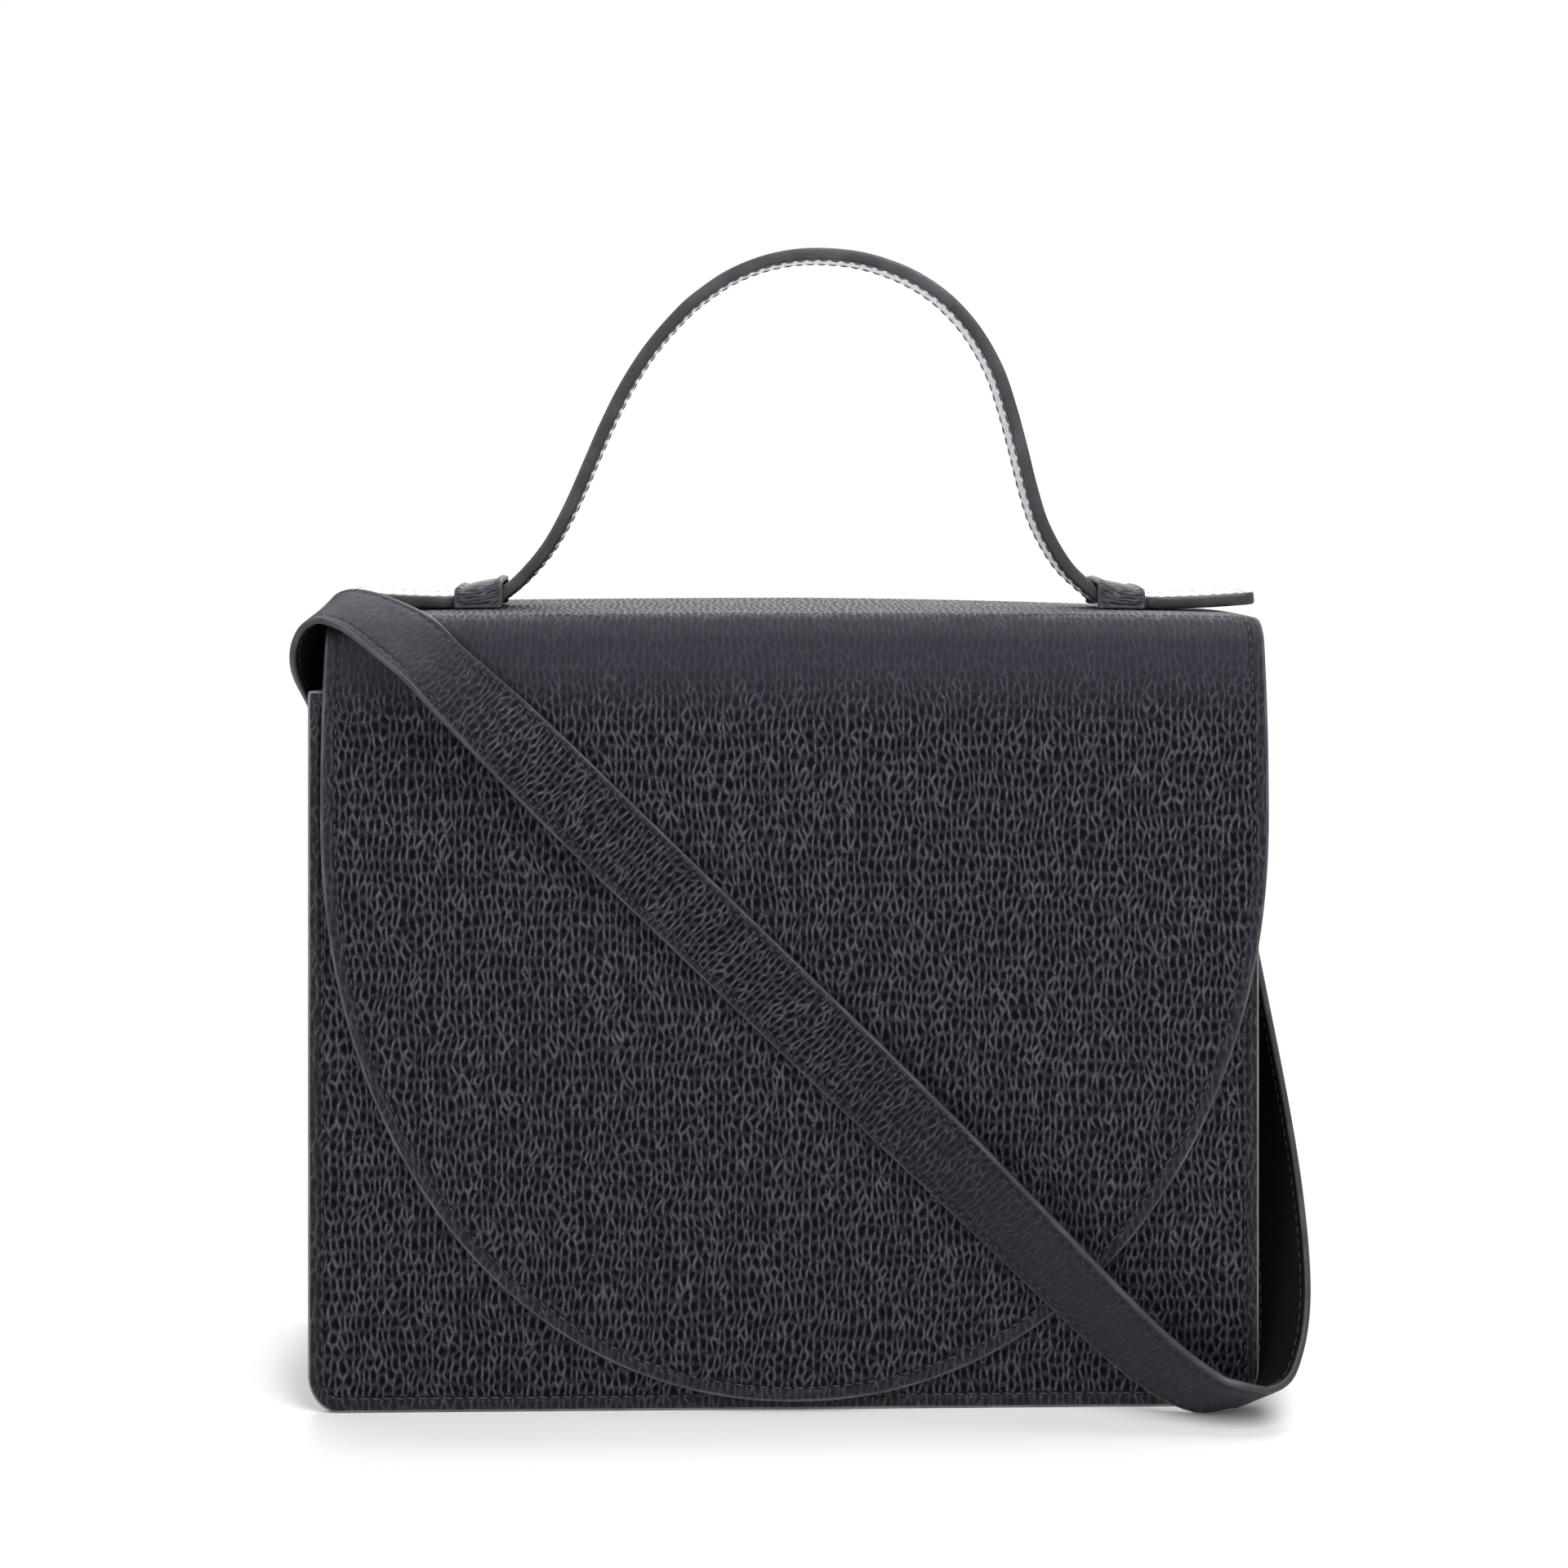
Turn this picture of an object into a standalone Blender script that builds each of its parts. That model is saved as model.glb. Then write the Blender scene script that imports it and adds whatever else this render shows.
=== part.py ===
"""Structured leather briefcase with a D-shaped flap, a top handle in two keepers and a shoulder strap.

Metres, +Z up. The front faces -Y and the right side is +X. The bag is modelled about the middle of its base, and
the whole is then set with the origin at the bottom centre of its bounding box.
"""

import math

import bmesh
import bpy
from mathutils import Vector

# Bag body
BODY_WIDTH = 0.3000
BODY_DEPTH = 0.0900
TOP_HEIGHT = 0.2505
FRONT_MOUTH_DROP = 0.0237
REAR_MOUTH_DROP = 0.0115
BOTTOM_CORNER_RADIUS = 0.0116
TOP_CORNER_RADIUS = 0.0030
PANEL_THICKNESS = 0.0018
GUSSET_THICKNESS = 0.0014
SEAM_ALLOWANCE = 0.0065
FIT_GAP = 0.0003
CUT_OVERRUN = 0.0010

# Inside of the body
BOARD_THICKNESS = 0.0010
LINING_THICKNESS = 0.0006
LINING_DROP = 0.0012
BASE_BOARD_THICKNESS = 0.0020
BASE_BOARD_CORNER = 0.0040
FACING_HEIGHT = 0.0300
FACING_THICKNESS = 0.0010
POCKET_WIDTH = 0.1700
POCKET_HEIGHT = 0.1150
POCKET_BELOW_FACING = 0.0328
POCKET_DEPTH = 0.0075
POCKET_WALL = 0.0010
POCKET_CORNER = 0.0100

# Flap
FLAP_SIDE_SHIFT = 0.0034
FLAP_WIDTH = 0.2976
FLAP_TOP_WIDTH = 0.2938
FLAP_WIDEST_DROP = 0.0635
FLAP_TIP_HEIGHT = 0.0038
FLAP_CURVE_POWER = 2.08
FLAP_LEATHER = 0.0012
FLAP_LINING = 0.0005
FLAP_END_DROOP = 0.0012
REAR_CORNER_SAG = 0.0032
DROOP_FADE_HEIGHT = 0.0350
REAR_BEND_RADIUS = 0.0090
FRONT_BEND_RADIUS = 0.0080
BOARD_MARGIN = 0.0080

# Hidden magnetic closure
MAGNET_RADIUS = 0.0070
MAGNET_HEIGHT = 0.0340

# Handle
HANDLE_SIDE_SHIFT = 0.0061
HANDLE_HALF_SPAN = 0.0978
HANDLE_RISE = 0.1147
HANDLE_WIDTH = 0.0220
HANDLE_THICKNESS = 0.0042
HANDLE_EDGE_RADIUS = 0.0009
TAIL_LENGTH = 0.0442
TAIL_END_WIDTH = 0.0250
TAIL_SHOULDER = 0.0040
TAIL_CORNER = 0.0040
TAIL_TIP_LIFT = 0.0024
KEEPER_LENGTH = 0.0158
KEEPER_WALL = 0.0014
KEEPER_RIM = 0.0004
KEEPER_RIM_LENGTH = 0.0030
KEEPER_ARCH_HEIGHT = 0.0092
KEEPER_TAIL_HEIGHT = 0.0065
KEEPER_CORNER = 0.0026
KEEPER_CLEARANCE = 0.0005

# Shoulder strap and its anchors
STRAP_WIDTH = 0.0242
STRAP_THICKNESS = 0.0023
STRAP_EDGE_RADIUS = 0.0005
ANCHOR_DROP = 0.0525
ANCHOR_TAB_BELOW = 0.0110
LEFT_TAB_LEAN_SHARE = 0.50
PATCH_WIDTH = 0.0300
PATCH_HEIGHT = 0.0400
PATCH_CORNER = 0.0050
PATCH_THICKNESS = 0.0010
RIVET_CAP_RADIUS = 0.0045
RIVET_CAP_THICKNESS = 0.0010
RIVET_POST_RADIUS = 0.0018

# Facet counts
CORNER_STEPS = 6
BEND_STEPS = 6
FLAP_CURVE_STEPS = 18
FLAP_COLUMNS = 10
ROUND_STEPS = 24
HOLE_STEPS = 14

# Middle line of the handle strap, from the left keeper over the arch to the right keeper:
# shares of the half span sideways and of the rise upwards.
HANDLE_SHARES = (
    (-1.060, 0.000),
    (-1.030, 0.006),
    (-0.989, 0.028),
    (-0.923, 0.079),
    (-0.844, 0.163),
    (-0.773, 0.275),
    (-0.715, 0.387),
    (-0.658, 0.499),
    (-0.592, 0.612),
    (-0.508, 0.724),
    (-0.394, 0.836),
    (-0.315, 0.892),
    (-0.230, 0.939),
    (-0.120, 0.977),
    (-0.010, 0.996),
    (0.100, 0.998),
    (0.210, 0.987),
    (0.320, 0.959),
    (0.412, 0.921),
    (0.502, 0.865),
    (0.590, 0.781),
    (0.666, 0.668),
    (0.711, 0.556),
    (0.747, 0.443),
    (0.780, 0.330),
    (0.822, 0.218),
    (0.898, 0.105),
    (0.975, 0.040),
    (1.025, 0.008),
    (1.060, 0.000),
)
FOOT_SHARE = 1.060
LEG_TOP_SHARE = 0.30

# Route of the shoulder strap's middle line: shares of half the body's width, half its depth and the flap's
# height, then the direction across the strap, towards the edge that lies uppermost on the front.
LEFT_LOOP_SHARES = (
    (-0.9960, -0.4200, 0.9050, 0.00, 0.62, 0.78),
    (-1.0040, -0.7300, 0.9400, 0.04, 0.77, 0.63),
    (-1.0020, -0.9250, 0.9720, 0.12, 0.92, 0.38),
    (-0.9840, -0.9900, 0.9955, 0.22, 0.94, 0.26),
    (-0.9346, -0.9950, 1.0120, 0.28, 0.90, 0.34),
    (-0.8616, -1.0450, 0.9985, 0.29, 0.85, 0.44),
    (-0.7960, -1.1800, 0.9780, 0.27, 0.77, 0.58),
    (-0.7510, -1.2850, 0.9590, 0.31, 0.72, 0.62),
    (-0.7080, -1.3080, 0.9310, 0.36, 0.66, 0.66),
    (-0.6010, -1.2620, 0.8710, 0.58, 0.49, 0.65),
    (-0.4334, -1.1720, 0.7660, 0.69, 0.15, 0.71),
)
FLAT_RUN_SHARES = (
    (-0.1950, 0.6280),
    (0.0090, 0.5080),
)
RIGHT_LOOP_SHARES = (
    (0.2820, -1.1900, 0.3550, 0.64, -0.24, 0.73),
    (0.5260, -1.2430, 0.2120, 0.57, -0.44, 0.69),
    (0.6930, -1.2650, 0.1180, 0.48, -0.53, 0.71),
    (0.8370, -1.2800, 0.0540, 0.34, -0.62, 0.71),
    (0.9502, -1.2944, 0.0325, 0.18, -0.82, 0.53),
    (1.0092, -1.2042, 0.0379, 0.10, -0.90, 0.42),
    (1.0375, -1.0640, 0.0524, 0.20, -0.89, 0.40),
    (1.0634, -0.8911, 0.1026, 0.36, -0.88, 0.32),
    (1.0669, -0.7565, 0.1644, 0.46, -0.87, 0.18),
    (1.0646, -0.5990, 0.2734, 0.40, -0.90, 0.15),
    (1.0460, -0.4317, 0.3959, 0.28, -0.95, 0.14),
    (1.0197, -0.2687, 0.5249, 0.16, -0.98, 0.12),
    (0.9980, -0.1173, 0.6439, 0.05, -0.99, 0.10),
)

# Places that follow from the sizes above
HALF_WIDTH = BODY_WIDTH / 2
HALF_DEPTH = BODY_DEPTH / 2
FRONT_HEIGHT = TOP_HEIGHT - FRONT_MOUTH_DROP
REAR_MOUTH_HEIGHT = TOP_HEIGHT - REAR_MOUTH_DROP
POCKET_TOP = REAR_MOUTH_HEIGHT - LINING_DROP - FACING_HEIGHT - POCKET_BELOW_FACING
POCKET_BOTTOM = POCKET_TOP - POCKET_HEIGHT
FLAP_WIDEST_HEIGHT = TOP_HEIGHT - FLAP_WIDEST_DROP
ANCHOR_HEIGHT = TOP_HEIGHT - ANCHOR_DROP
PANEL_INSIDE = HALF_DEPTH - PANEL_THICKNESS
WEB_REACH = PANEL_INSIDE - FIT_GAP
WEB_INSIDE = HALF_WIDTH - SEAM_ALLOWANCE
WEB_OUTSIDE = WEB_INSIDE + GUSSET_THICKNESS
BOARD_INSIDE = WEB_REACH - BOARD_THICKNESS
LINING_OUTSIDE = BOARD_INSIDE - FIT_GAP
LINING_INSIDE = LINING_OUTSIDE - LINING_THICKNESS
FLAP_BOARD_TOP = FLAP_LEATHER + FIT_GAP
FLAP_BOARD_UNDER = FLAP_BOARD_TOP + BOARD_THICKNESS
FLAP_THICKNESS = FLAP_BOARD_UNDER + FIT_GAP + FLAP_LINING
FLAP_FRONT = HALF_DEPTH + FIT_GAP + FLAP_THICKNESS
HINGE_HEIGHT = TOP_HEIGHT - REAR_BEND_RADIUS
PATCH_INSIDE = WEB_OUTSIDE + FIT_GAP
PATCH_OUTSIDE = PATCH_INSIDE + PATCH_THICKNESS
STRAP_END_INSIDE = PATCH_OUTSIDE + FIT_GAP
STRAP_END_MIDDLE = STRAP_END_INSIDE + STRAP_THICKNESS / 2
STRAP_END_OUTSIDE = STRAP_END_INSIDE + STRAP_THICKNESS
RUN_MIDDLE = FLAP_FRONT + FIT_GAP + STRAP_THICKNESS / 2


def clear_scene():
    """Take every object out of the scene."""
    for item in list(bpy.data.objects):
        bpy.data.objects.remove(item, do_unlink=True)


def finish(name, colour, roughness, metallic=0.0):
    """A Principled material of one colour."""
    made = bpy.data.materials.new(name)
    made.use_nodes = True
    shader = made.node_tree.nodes["Principled BSDF"]
    shader.inputs["Base Color"].default_value = (*colour, 1.0)
    shader.inputs["Roughness"].default_value = roughness
    shader.inputs["Metallic"].default_value = metallic
    made.diffuse_color = (*colour, 1.0)
    made.metallic = metallic
    made.roughness = roughness
    return made


def leather(name):
    """Pebbled leather, very dark aubergine."""
    return finish(name, (0.030, 0.026, 0.036), 0.48)


def smooth_leather(name):
    """Strap leather, finer and a little lighter."""
    return finish(name, (0.036, 0.032, 0.044), 0.44)


def suede(name):
    """Lining of flat suede leather."""
    return finish(name, (0.058, 0.050, 0.062), 0.88)


def fibre_board(name):
    """Stiffening board of bonded leather."""
    return finish(name, (0.230, 0.150, 0.090), 0.80)


def dark_metal(name):
    """Dark nickel of the hidden fasteners."""
    return finish(name, (0.120, 0.115, 0.110), 0.30, 1.0)


def make_object(name, mesh_builder, material):
    """Turn a bmesh into a named object with one material, faces pointing out and flats kept crisp."""
    bmesh.ops.recalc_face_normals(mesh_builder, faces=mesh_builder.faces[:])
    mesh = bpy.data.meshes.new(name)
    mesh_builder.to_mesh(mesh)
    mesh_builder.free()
    mesh.materials.append(material)
    mesh.shade_smooth()
    mesh.set_sharp_from_angle(angle=math.radians(32.0))
    made = bpy.data.objects.new(name, mesh)
    bpy.context.collection.objects.link(made)
    return made


def empty(name, place, parent=None):
    """An axis marker at a place given in the bag's frame."""
    made = bpy.data.objects.new(name, None)
    bpy.context.collection.objects.link(made)
    made.parent = parent
    made.location = place - origin_of(parent)
    return made


def origin_of(marker):
    """Where a marker stands in the bag's frame."""
    place = Vector((0.0, 0.0, 0.0))
    while marker is not None:
        place = place + marker.location
        marker = marker.parent
    return place


def carry(marker, *pieces):
    """Hang pieces on a marker, their origins on it and their meshes where they are."""
    origin = origin_of(marker)
    for piece in pieces:
        piece.data.transform(piece.matrix_basis)
        piece.matrix_basis.identity()
        for vertex in piece.data.vertices:
            vertex.co = vertex.co - origin
        piece.parent = marker


def cut(piece, cutter):
    """Subtract a guide solid from a piece."""
    hole = piece.modifiers.new("cut_" + cutter.name, "BOOLEAN")
    hole.operation = "DIFFERENCE"
    hole.solver = "EXACT"
    hole.object = cutter
    cutter.hide_render = True
    cutter.display_type = "WIRE"


def arc(centre_x, centre_z, radius, start, end, steps):
    """Points of an arc in a plane, angles in degrees from +X towards +Z."""
    points = []
    for step in range(steps + 1):
        angle = math.radians(start + (end - start) * step / steps)
        points.append((centre_x + radius * math.cos(angle), centre_z + radius * math.sin(angle)))
    return points


def rounded_outline(left, right, bottom, top, bottom_radius, top_radius):
    """A rectangle seen from the front with two round bottom corners and two round top corners."""
    points = arc(left + bottom_radius, bottom + bottom_radius, bottom_radius, 180.0, 270.0, CORNER_STEPS)
    points += arc(right - bottom_radius, bottom + bottom_radius, bottom_radius, 270.0, 360.0, CORNER_STEPS)
    points += arc(right - top_radius, top - top_radius, top_radius, 0.0, 90.0, CORNER_STEPS // 2)
    points += arc(left + top_radius, top - top_radius, top_radius, 90.0, 180.0, CORNER_STEPS // 2)
    return points


def extrude_outline(name, outline, axis, start, end, material):
    """A plate: an outline in the plane square to an axis, drawn out from start to end along it."""
    work = bmesh.new()
    lift = {"X": lambda u, v: Vector((start, u, v)), "Y": lambda u, v: Vector((u, start, v)),
            "Z": lambda u, v: Vector((u, v, start))}[axis]
    ring = [work.verts.new(lift(u, v)) for u, v in outline]
    face = work.faces.new(ring)
    grown = bmesh.ops.extrude_face_region(work, geom=[face])
    direction = {"X": Vector((1, 0, 0)), "Y": Vector((0, 1, 0)), "Z": Vector((0, 0, 1))}[axis]
    moved = [part for part in grown["geom"] if isinstance(part, bmesh.types.BMVert)]
    bmesh.ops.translate(work, verts=moved, vec=direction * (end - start))
    return make_object(name, work, material)


def disc(name, centre, axis, radius, start, end, steps, material):
    """A round plate or pin with its axis along X or Y through a centre point."""
    if axis == "X":
        middle = (centre.y, centre.z)
    else:
        middle = (centre.x, centre.z)
    outline = arc(middle[0], middle[1], radius, 0.0, 360.0, steps)[:-1]
    return extrude_outline(name, outline, axis, start, end, material)


def panel_outline():
    """Outline of the front panel, standing on the ground."""
    return rounded_outline(-HALF_WIDTH, HALF_WIDTH, 0.0, FRONT_HEIGHT, BOTTOM_CORNER_RADIUS, TOP_CORNER_RADIUS)


def front_panel():
    """Front wall of pebbled leather, its raw painted edge showing all round."""
    return extrude_outline(
        "front_panel", panel_outline(), "Y", -HALF_DEPTH, -PANEL_INSIDE, leather("front_panel_leather"))


def back_panel():
    """Back wall of pebbled leather, which runs on over the top as the flap."""
    top = HINGE_HEIGHT - FIT_GAP
    half_top = FLAP_TOP_WIDTH / 2
    outline = arc(-HALF_WIDTH + BOTTOM_CORNER_RADIUS, BOTTOM_CORNER_RADIUS, BOTTOM_CORNER_RADIUS,
                  180.0, 270.0, CORNER_STEPS)
    outline += arc(HALF_WIDTH - BOTTOM_CORNER_RADIUS, BOTTOM_CORNER_RADIUS, BOTTOM_CORNER_RADIUS,
                   270.0, 360.0, CORNER_STEPS)
    outline += [(HALF_WIDTH, FRONT_HEIGHT), (FLAP_SIDE_SHIFT + half_top, top)]
    outline += [(FLAP_SIDE_SHIFT - half_top, top), (-HALF_WIDTH, FRONT_HEIGHT)]
    return extrude_outline("back_panel", outline, "Y", PANEL_INSIDE, HALF_DEPTH, leather("back_panel_leather"))


def gusset_stations():
    """Points and outward directions along the panel's edge, down the left side, along the base, up the right."""
    radius = BOTTOM_CORNER_RADIUS
    left = (-HALF_WIDTH + radius, radius)
    right = (HALF_WIDTH - radius, radius)
    stations = [((-HALF_WIDTH, FRONT_HEIGHT), (-1.0, 0.0))]
    for centre, first in ((left, 180.0), (right, 270.0)):
        for step in range(CORNER_STEPS + 1):
            angle = math.radians(first + 90.0 * step / CORNER_STEPS)
            outward = (math.cos(angle), math.sin(angle))
            stations.append(((centre[0] + radius * outward[0], centre[1] + radius * outward[1]), outward))
    stations.append(((HALF_WIDTH, FRONT_HEIGHT), (1.0, 0.0)))
    return stations


def mouth_height(y, drop):
    """Height of the gusset's slanting mouth edge at a depth y, less a drop."""
    share = (y + HALF_DEPTH) / BODY_DEPTH
    return FRONT_HEIGHT + (REAR_MOUTH_HEIGHT - FRONT_HEIGHT) * share - drop


def gusset_strip(name, section, drop, material):
    """A strip that follows the panel's edge: section points are (distance in from the edge, depth y)."""
    work = bmesh.new()
    stations = gusset_stations()
    rings = []
    for number, ((x, z), (out_x, out_z)) in enumerate(stations):
        at_mouth = number in (0, len(stations) - 1)
        ring = []
        for inset, y in section:
            height = mouth_height(y, drop) if at_mouth else z - out_z * inset
            ring.append(work.verts.new((x - out_x * inset, y, height)))
        rings.append(ring)
    bridge_rings(work, rings)
    work.faces.new(rings[0])
    work.faces.new(rings[-1])
    return make_object(name, work, material)


def bridge_rings(work, rings):
    """Join rings of equal point counts one after another with quads."""
    for first, second in zip(rings, rings[1:]):
        for number in range(len(first)):
            following = (number + 1) % len(first)
            work.faces.new((first[number], first[following], second[following], second[number]))


def gusset():
    """Sides and base in one strip, its two edges turned out behind the panels."""
    web_in = SEAM_ALLOWANCE
    web_out = SEAM_ALLOWANCE - GUSSET_THICKNESS
    flange = WEB_REACH - GUSSET_THICKNESS
    section = (
        (web_in, -WEB_REACH), (web_in, WEB_REACH), (0.0, WEB_REACH), (0.0, flange),
        (web_out, flange), (web_out, -flange), (0.0, -flange), (0.0, -WEB_REACH),
    )
    return gusset_strip("gusset", section, LINING_DROP / 2, leather("gusset_leather"))


def gusset_lining():
    """Lining of the sides and base, inside the gusset."""
    outer = SEAM_ALLOWANCE + FIT_GAP
    inner = outer + LINING_THICKNESS
    reach = LINING_INSIDE - FIT_GAP
    section = ((inner, -reach), (inner, reach), (outer, reach), (outer, -reach))
    return gusset_strip("gusset_lining", section, LINING_DROP, suede("gusset_suede"))


def wall_sheet(name, y_outside, y_inside, top, material):
    """A flat sheet inside the body's walls, with the corners that the gusset leaves."""
    edge = WEB_INSIDE - FIT_GAP
    bottom = SEAM_ALLOWANCE + FIT_GAP
    radius = max(BOTTOM_CORNER_RADIUS - bottom, FIT_GAP)
    outline = rounded_outline(-edge, edge, bottom, top, radius, radius)
    return extrude_outline(name, outline, "Y", y_outside, y_inside, material)


def front_stiffener():
    """Board behind the front panel, with the seat of the magnet cut through it."""
    board = wall_sheet("front_stiffener", -WEB_REACH, -BOARD_INSIDE, FRONT_HEIGHT - LINING_DROP,
                       fibre_board("front_board"))
    cut(board, magnet_seat("front_magnet_seat", -WEB_REACH - CUT_OVERRUN, -BOARD_INSIDE + CUT_OVERRUN))
    return board


def back_stiffener():
    """Board in front of the back panel."""
    return wall_sheet("back_stiffener", BOARD_INSIDE, WEB_REACH, REAR_MOUTH_HEIGHT - LINING_DROP,
                      fibre_board("back_board"))


def front_lining():
    """Suede over the front board."""
    return wall_sheet("front_lining", -LINING_OUTSIDE, -LINING_INSIDE, FRONT_HEIGHT - LINING_DROP,
                      suede("front_suede"))


def back_lining():
    """Suede over the back board."""
    return wall_sheet("back_lining", LINING_INSIDE, LINING_OUTSIDE, REAR_MOUTH_HEIGHT - LINING_DROP,
                      suede("back_suede"))


def facing(name, y_outside, y_inside, top):
    """Leather band that finishes the mouth over the lining's upper edge."""
    edge = WEB_INSIDE - FIT_GAP - LINING_THICKNESS - FIT_GAP
    radius = min(TOP_CORNER_RADIUS, FACING_HEIGHT / 2)
    outline = rounded_outline(-edge, edge, top - FACING_HEIGHT, top, radius, radius)
    return extrude_outline(name, outline, "Y", y_outside, y_inside, smooth_leather(name + "_leather"))


def front_facing():
    """Band along the front of the mouth."""
    inside = LINING_INSIDE - FIT_GAP - FACING_THICKNESS
    return facing("front_facing", -LINING_INSIDE + FIT_GAP, -inside, FRONT_HEIGHT - LINING_DROP)


def back_facing():
    """Band along the back of the mouth."""
    inside = LINING_INSIDE - FIT_GAP - FACING_THICKNESS
    return facing("back_facing", inside, LINING_INSIDE - FIT_GAP, REAR_MOUTH_HEIGHT - LINING_DROP)


def base_board():
    """Loose board that keeps the base flat, lying on the lining."""
    half_length = HALF_WIDTH - BOTTOM_CORNER_RADIUS
    half_width = LINING_INSIDE - FIT_GAP
    corner = BASE_BOARD_CORNER
    outline = rounded_outline(-half_length, half_length, -half_width, half_width, corner, corner)
    bottom = SEAM_ALLOWANCE + FIT_GAP + LINING_THICKNESS + FIT_GAP
    return extrude_outline("base_board", outline, "Z", bottom, bottom + BASE_BOARD_THICKNESS,
                           suede("base_board_suede"))


def slip_pocket():
    """Open pocket on the back lining: a shallow tray sewn down on three sides."""
    half = POCKET_WIDTH / 2
    top = POCKET_BOTTOM + POCKET_HEIGHT
    seat = LINING_INSIDE - FIT_GAP
    front = seat - POCKET_DEPTH
    outline = arc(-half + POCKET_CORNER, POCKET_BOTTOM + POCKET_CORNER, POCKET_CORNER, 180.0, 270.0, CORNER_STEPS)
    outline += arc(half - POCKET_CORNER, POCKET_BOTTOM + POCKET_CORNER, POCKET_CORNER, 270.0, 360.0, CORNER_STEPS)
    outline += [(half, top), (-half, top)]
    pocket = extrude_outline("slip_pocket", outline, "Y", front, seat, suede("pocket_suede"))
    inner = half - POCKET_WALL
    floor = POCKET_BOTTOM + POCKET_WALL
    radius = POCKET_CORNER - POCKET_WALL
    hollow = arc(-inner + radius, floor + radius, radius, 180.0, 270.0, CORNER_STEPS)
    hollow += arc(inner - radius, floor + radius, radius, 270.0, 360.0, CORNER_STEPS)
    hollow += [(inner, top + CUT_OVERRUN), (-inner, top + CUT_OVERRUN)]
    room = extrude_outline("pocket_room", hollow, "Y", front + POCKET_WALL, seat + CUT_OVERRUN,
                           suede("pocket_guide"))
    cut(pocket, room)
    return pocket


def magnet_centre():
    """Middle of the closure, under the point of the flap."""
    return Vector((FLAP_SIDE_SHIFT, 0.0, MAGNET_HEIGHT))


def magnet_seat(name, y_start, y_end):
    """Guide for the hole that a magnet sits in."""
    return disc(name, magnet_centre(), "Y", MAGNET_RADIUS + FIT_GAP, y_start, y_end, ROUND_STEPS,
                dark_metal(name))


def front_magnet():
    """Magnet in the front board."""
    return disc("front_magnet", magnet_centre(), "Y", MAGNET_RADIUS, -WEB_REACH, -BOARD_INSIDE, ROUND_STEPS,
                dark_metal("front_magnet_steel"))


def flap_magnet():
    """Magnet in the flap's board."""
    return disc("flap_magnet", magnet_centre(), "Y", MAGNET_RADIUS, -FLAP_FRONT + FLAP_BOARD_TOP,
                -FLAP_FRONT + FLAP_BOARD_UNDER, ROUND_STEPS, dark_metal("flap_magnet_steel"))


def flap_half_width(z, inset):
    """Half the flap's width at a height on its front, less an inset along the edge."""
    widest = FLAP_WIDTH / 2 - inset
    if z >= FLAP_WIDEST_HEIGHT:
        rise = (z - FLAP_WIDEST_HEIGHT) / (TOP_HEIGHT - FLAP_WIDEST_HEIGHT)
        return widest - (FLAP_WIDTH - FLAP_TOP_WIDTH) / 2 * rise ** 2
    fall = (FLAP_WIDEST_HEIGHT - z) / (FLAP_WIDEST_HEIGHT - FLAP_TIP_HEIGHT - inset)
    return widest * max(0.0, 1.0 - fall ** FLAP_CURVE_POWER) ** (1.0 / FLAP_CURVE_POWER)


def flap_row(y, z, out_y, out_z, half, droop):
    """One row across the flap: a point of its outer face, the outward direction, half width and droop share."""
    return {"y": y, "z": z, "out_y": out_y, "out_z": out_z, "half": half, "droop": droop}


def rear_bend_rows():
    """Rows of the bend over the back edge, from the hinge line to the top."""
    rows = []
    for step in range(BEND_STEPS + 1):
        angle = math.radians(90.0 * step / BEND_STEPS)
        out_y = math.cos(angle)
        out_z = math.sin(angle)
        y = HALF_DEPTH - REAR_BEND_RADIUS + REAR_BEND_RADIUS * out_y
        z = HINGE_HEIGHT + REAR_BEND_RADIUS * out_z
        rows.append(flap_row(y, z, out_y, out_z, FLAP_TOP_WIDTH / 2, out_z))
    return rows


def top_rows(y_back, y_front, steps, inset):
    """Rows of the flat top between two depths."""
    rows = []
    for step in range(steps + 1):
        y = y_back + (y_front - y_back) * step / steps
        rows.append(flap_row(y, TOP_HEIGHT, 0.0, 1.0, FLAP_TOP_WIDTH / 2 - inset, 1.0))
    return rows


def front_bend_rows():
    """Rows of the bend over the front edge."""
    rows = []
    for step in range(BEND_STEPS + 1):
        angle = math.radians(90.0 * step / BEND_STEPS)
        out_y = -math.sin(angle)
        out_z = math.cos(angle)
        y = -FLAP_FRONT + FRONT_BEND_RADIUS + FRONT_BEND_RADIUS * out_y
        z = TOP_HEIGHT - FRONT_BEND_RADIUS + FRONT_BEND_RADIUS * out_z
        rows.append(flap_row(y, z, out_y, out_z, flap_half_width(z, 0.0), 1.0))
    return rows


def front_rows(z_top, inset):
    """Rows down the flap's front, closer together as the outline turns in to the point."""
    heights = []
    straight_steps = BEND_STEPS // 2
    for step in range(straight_steps):
        heights.append(z_top + (FLAP_WIDEST_HEIGHT - z_top) * step / straight_steps)
    reach = FLAP_WIDEST_HEIGHT - FLAP_TIP_HEIGHT - inset
    power = 2.0 / FLAP_CURVE_POWER
    for step in range(FLAP_CURVE_STEPS):
        angle = math.radians(88.0 * step / (FLAP_CURVE_STEPS - 1))
        heights.append(FLAP_WIDEST_HEIGHT - reach * math.sin(angle) ** power)
    rows = []
    for z in heights:
        droop = min(1.0, max(0.0, 1.0 - (TOP_HEIGHT - FRONT_BEND_RADIUS - z) / DROOP_FADE_HEIGHT))
        rows.append(flap_row(-FLAP_FRONT, z, -1.0, 0.0, flap_half_width(z, inset), droop))
    return rows


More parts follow.
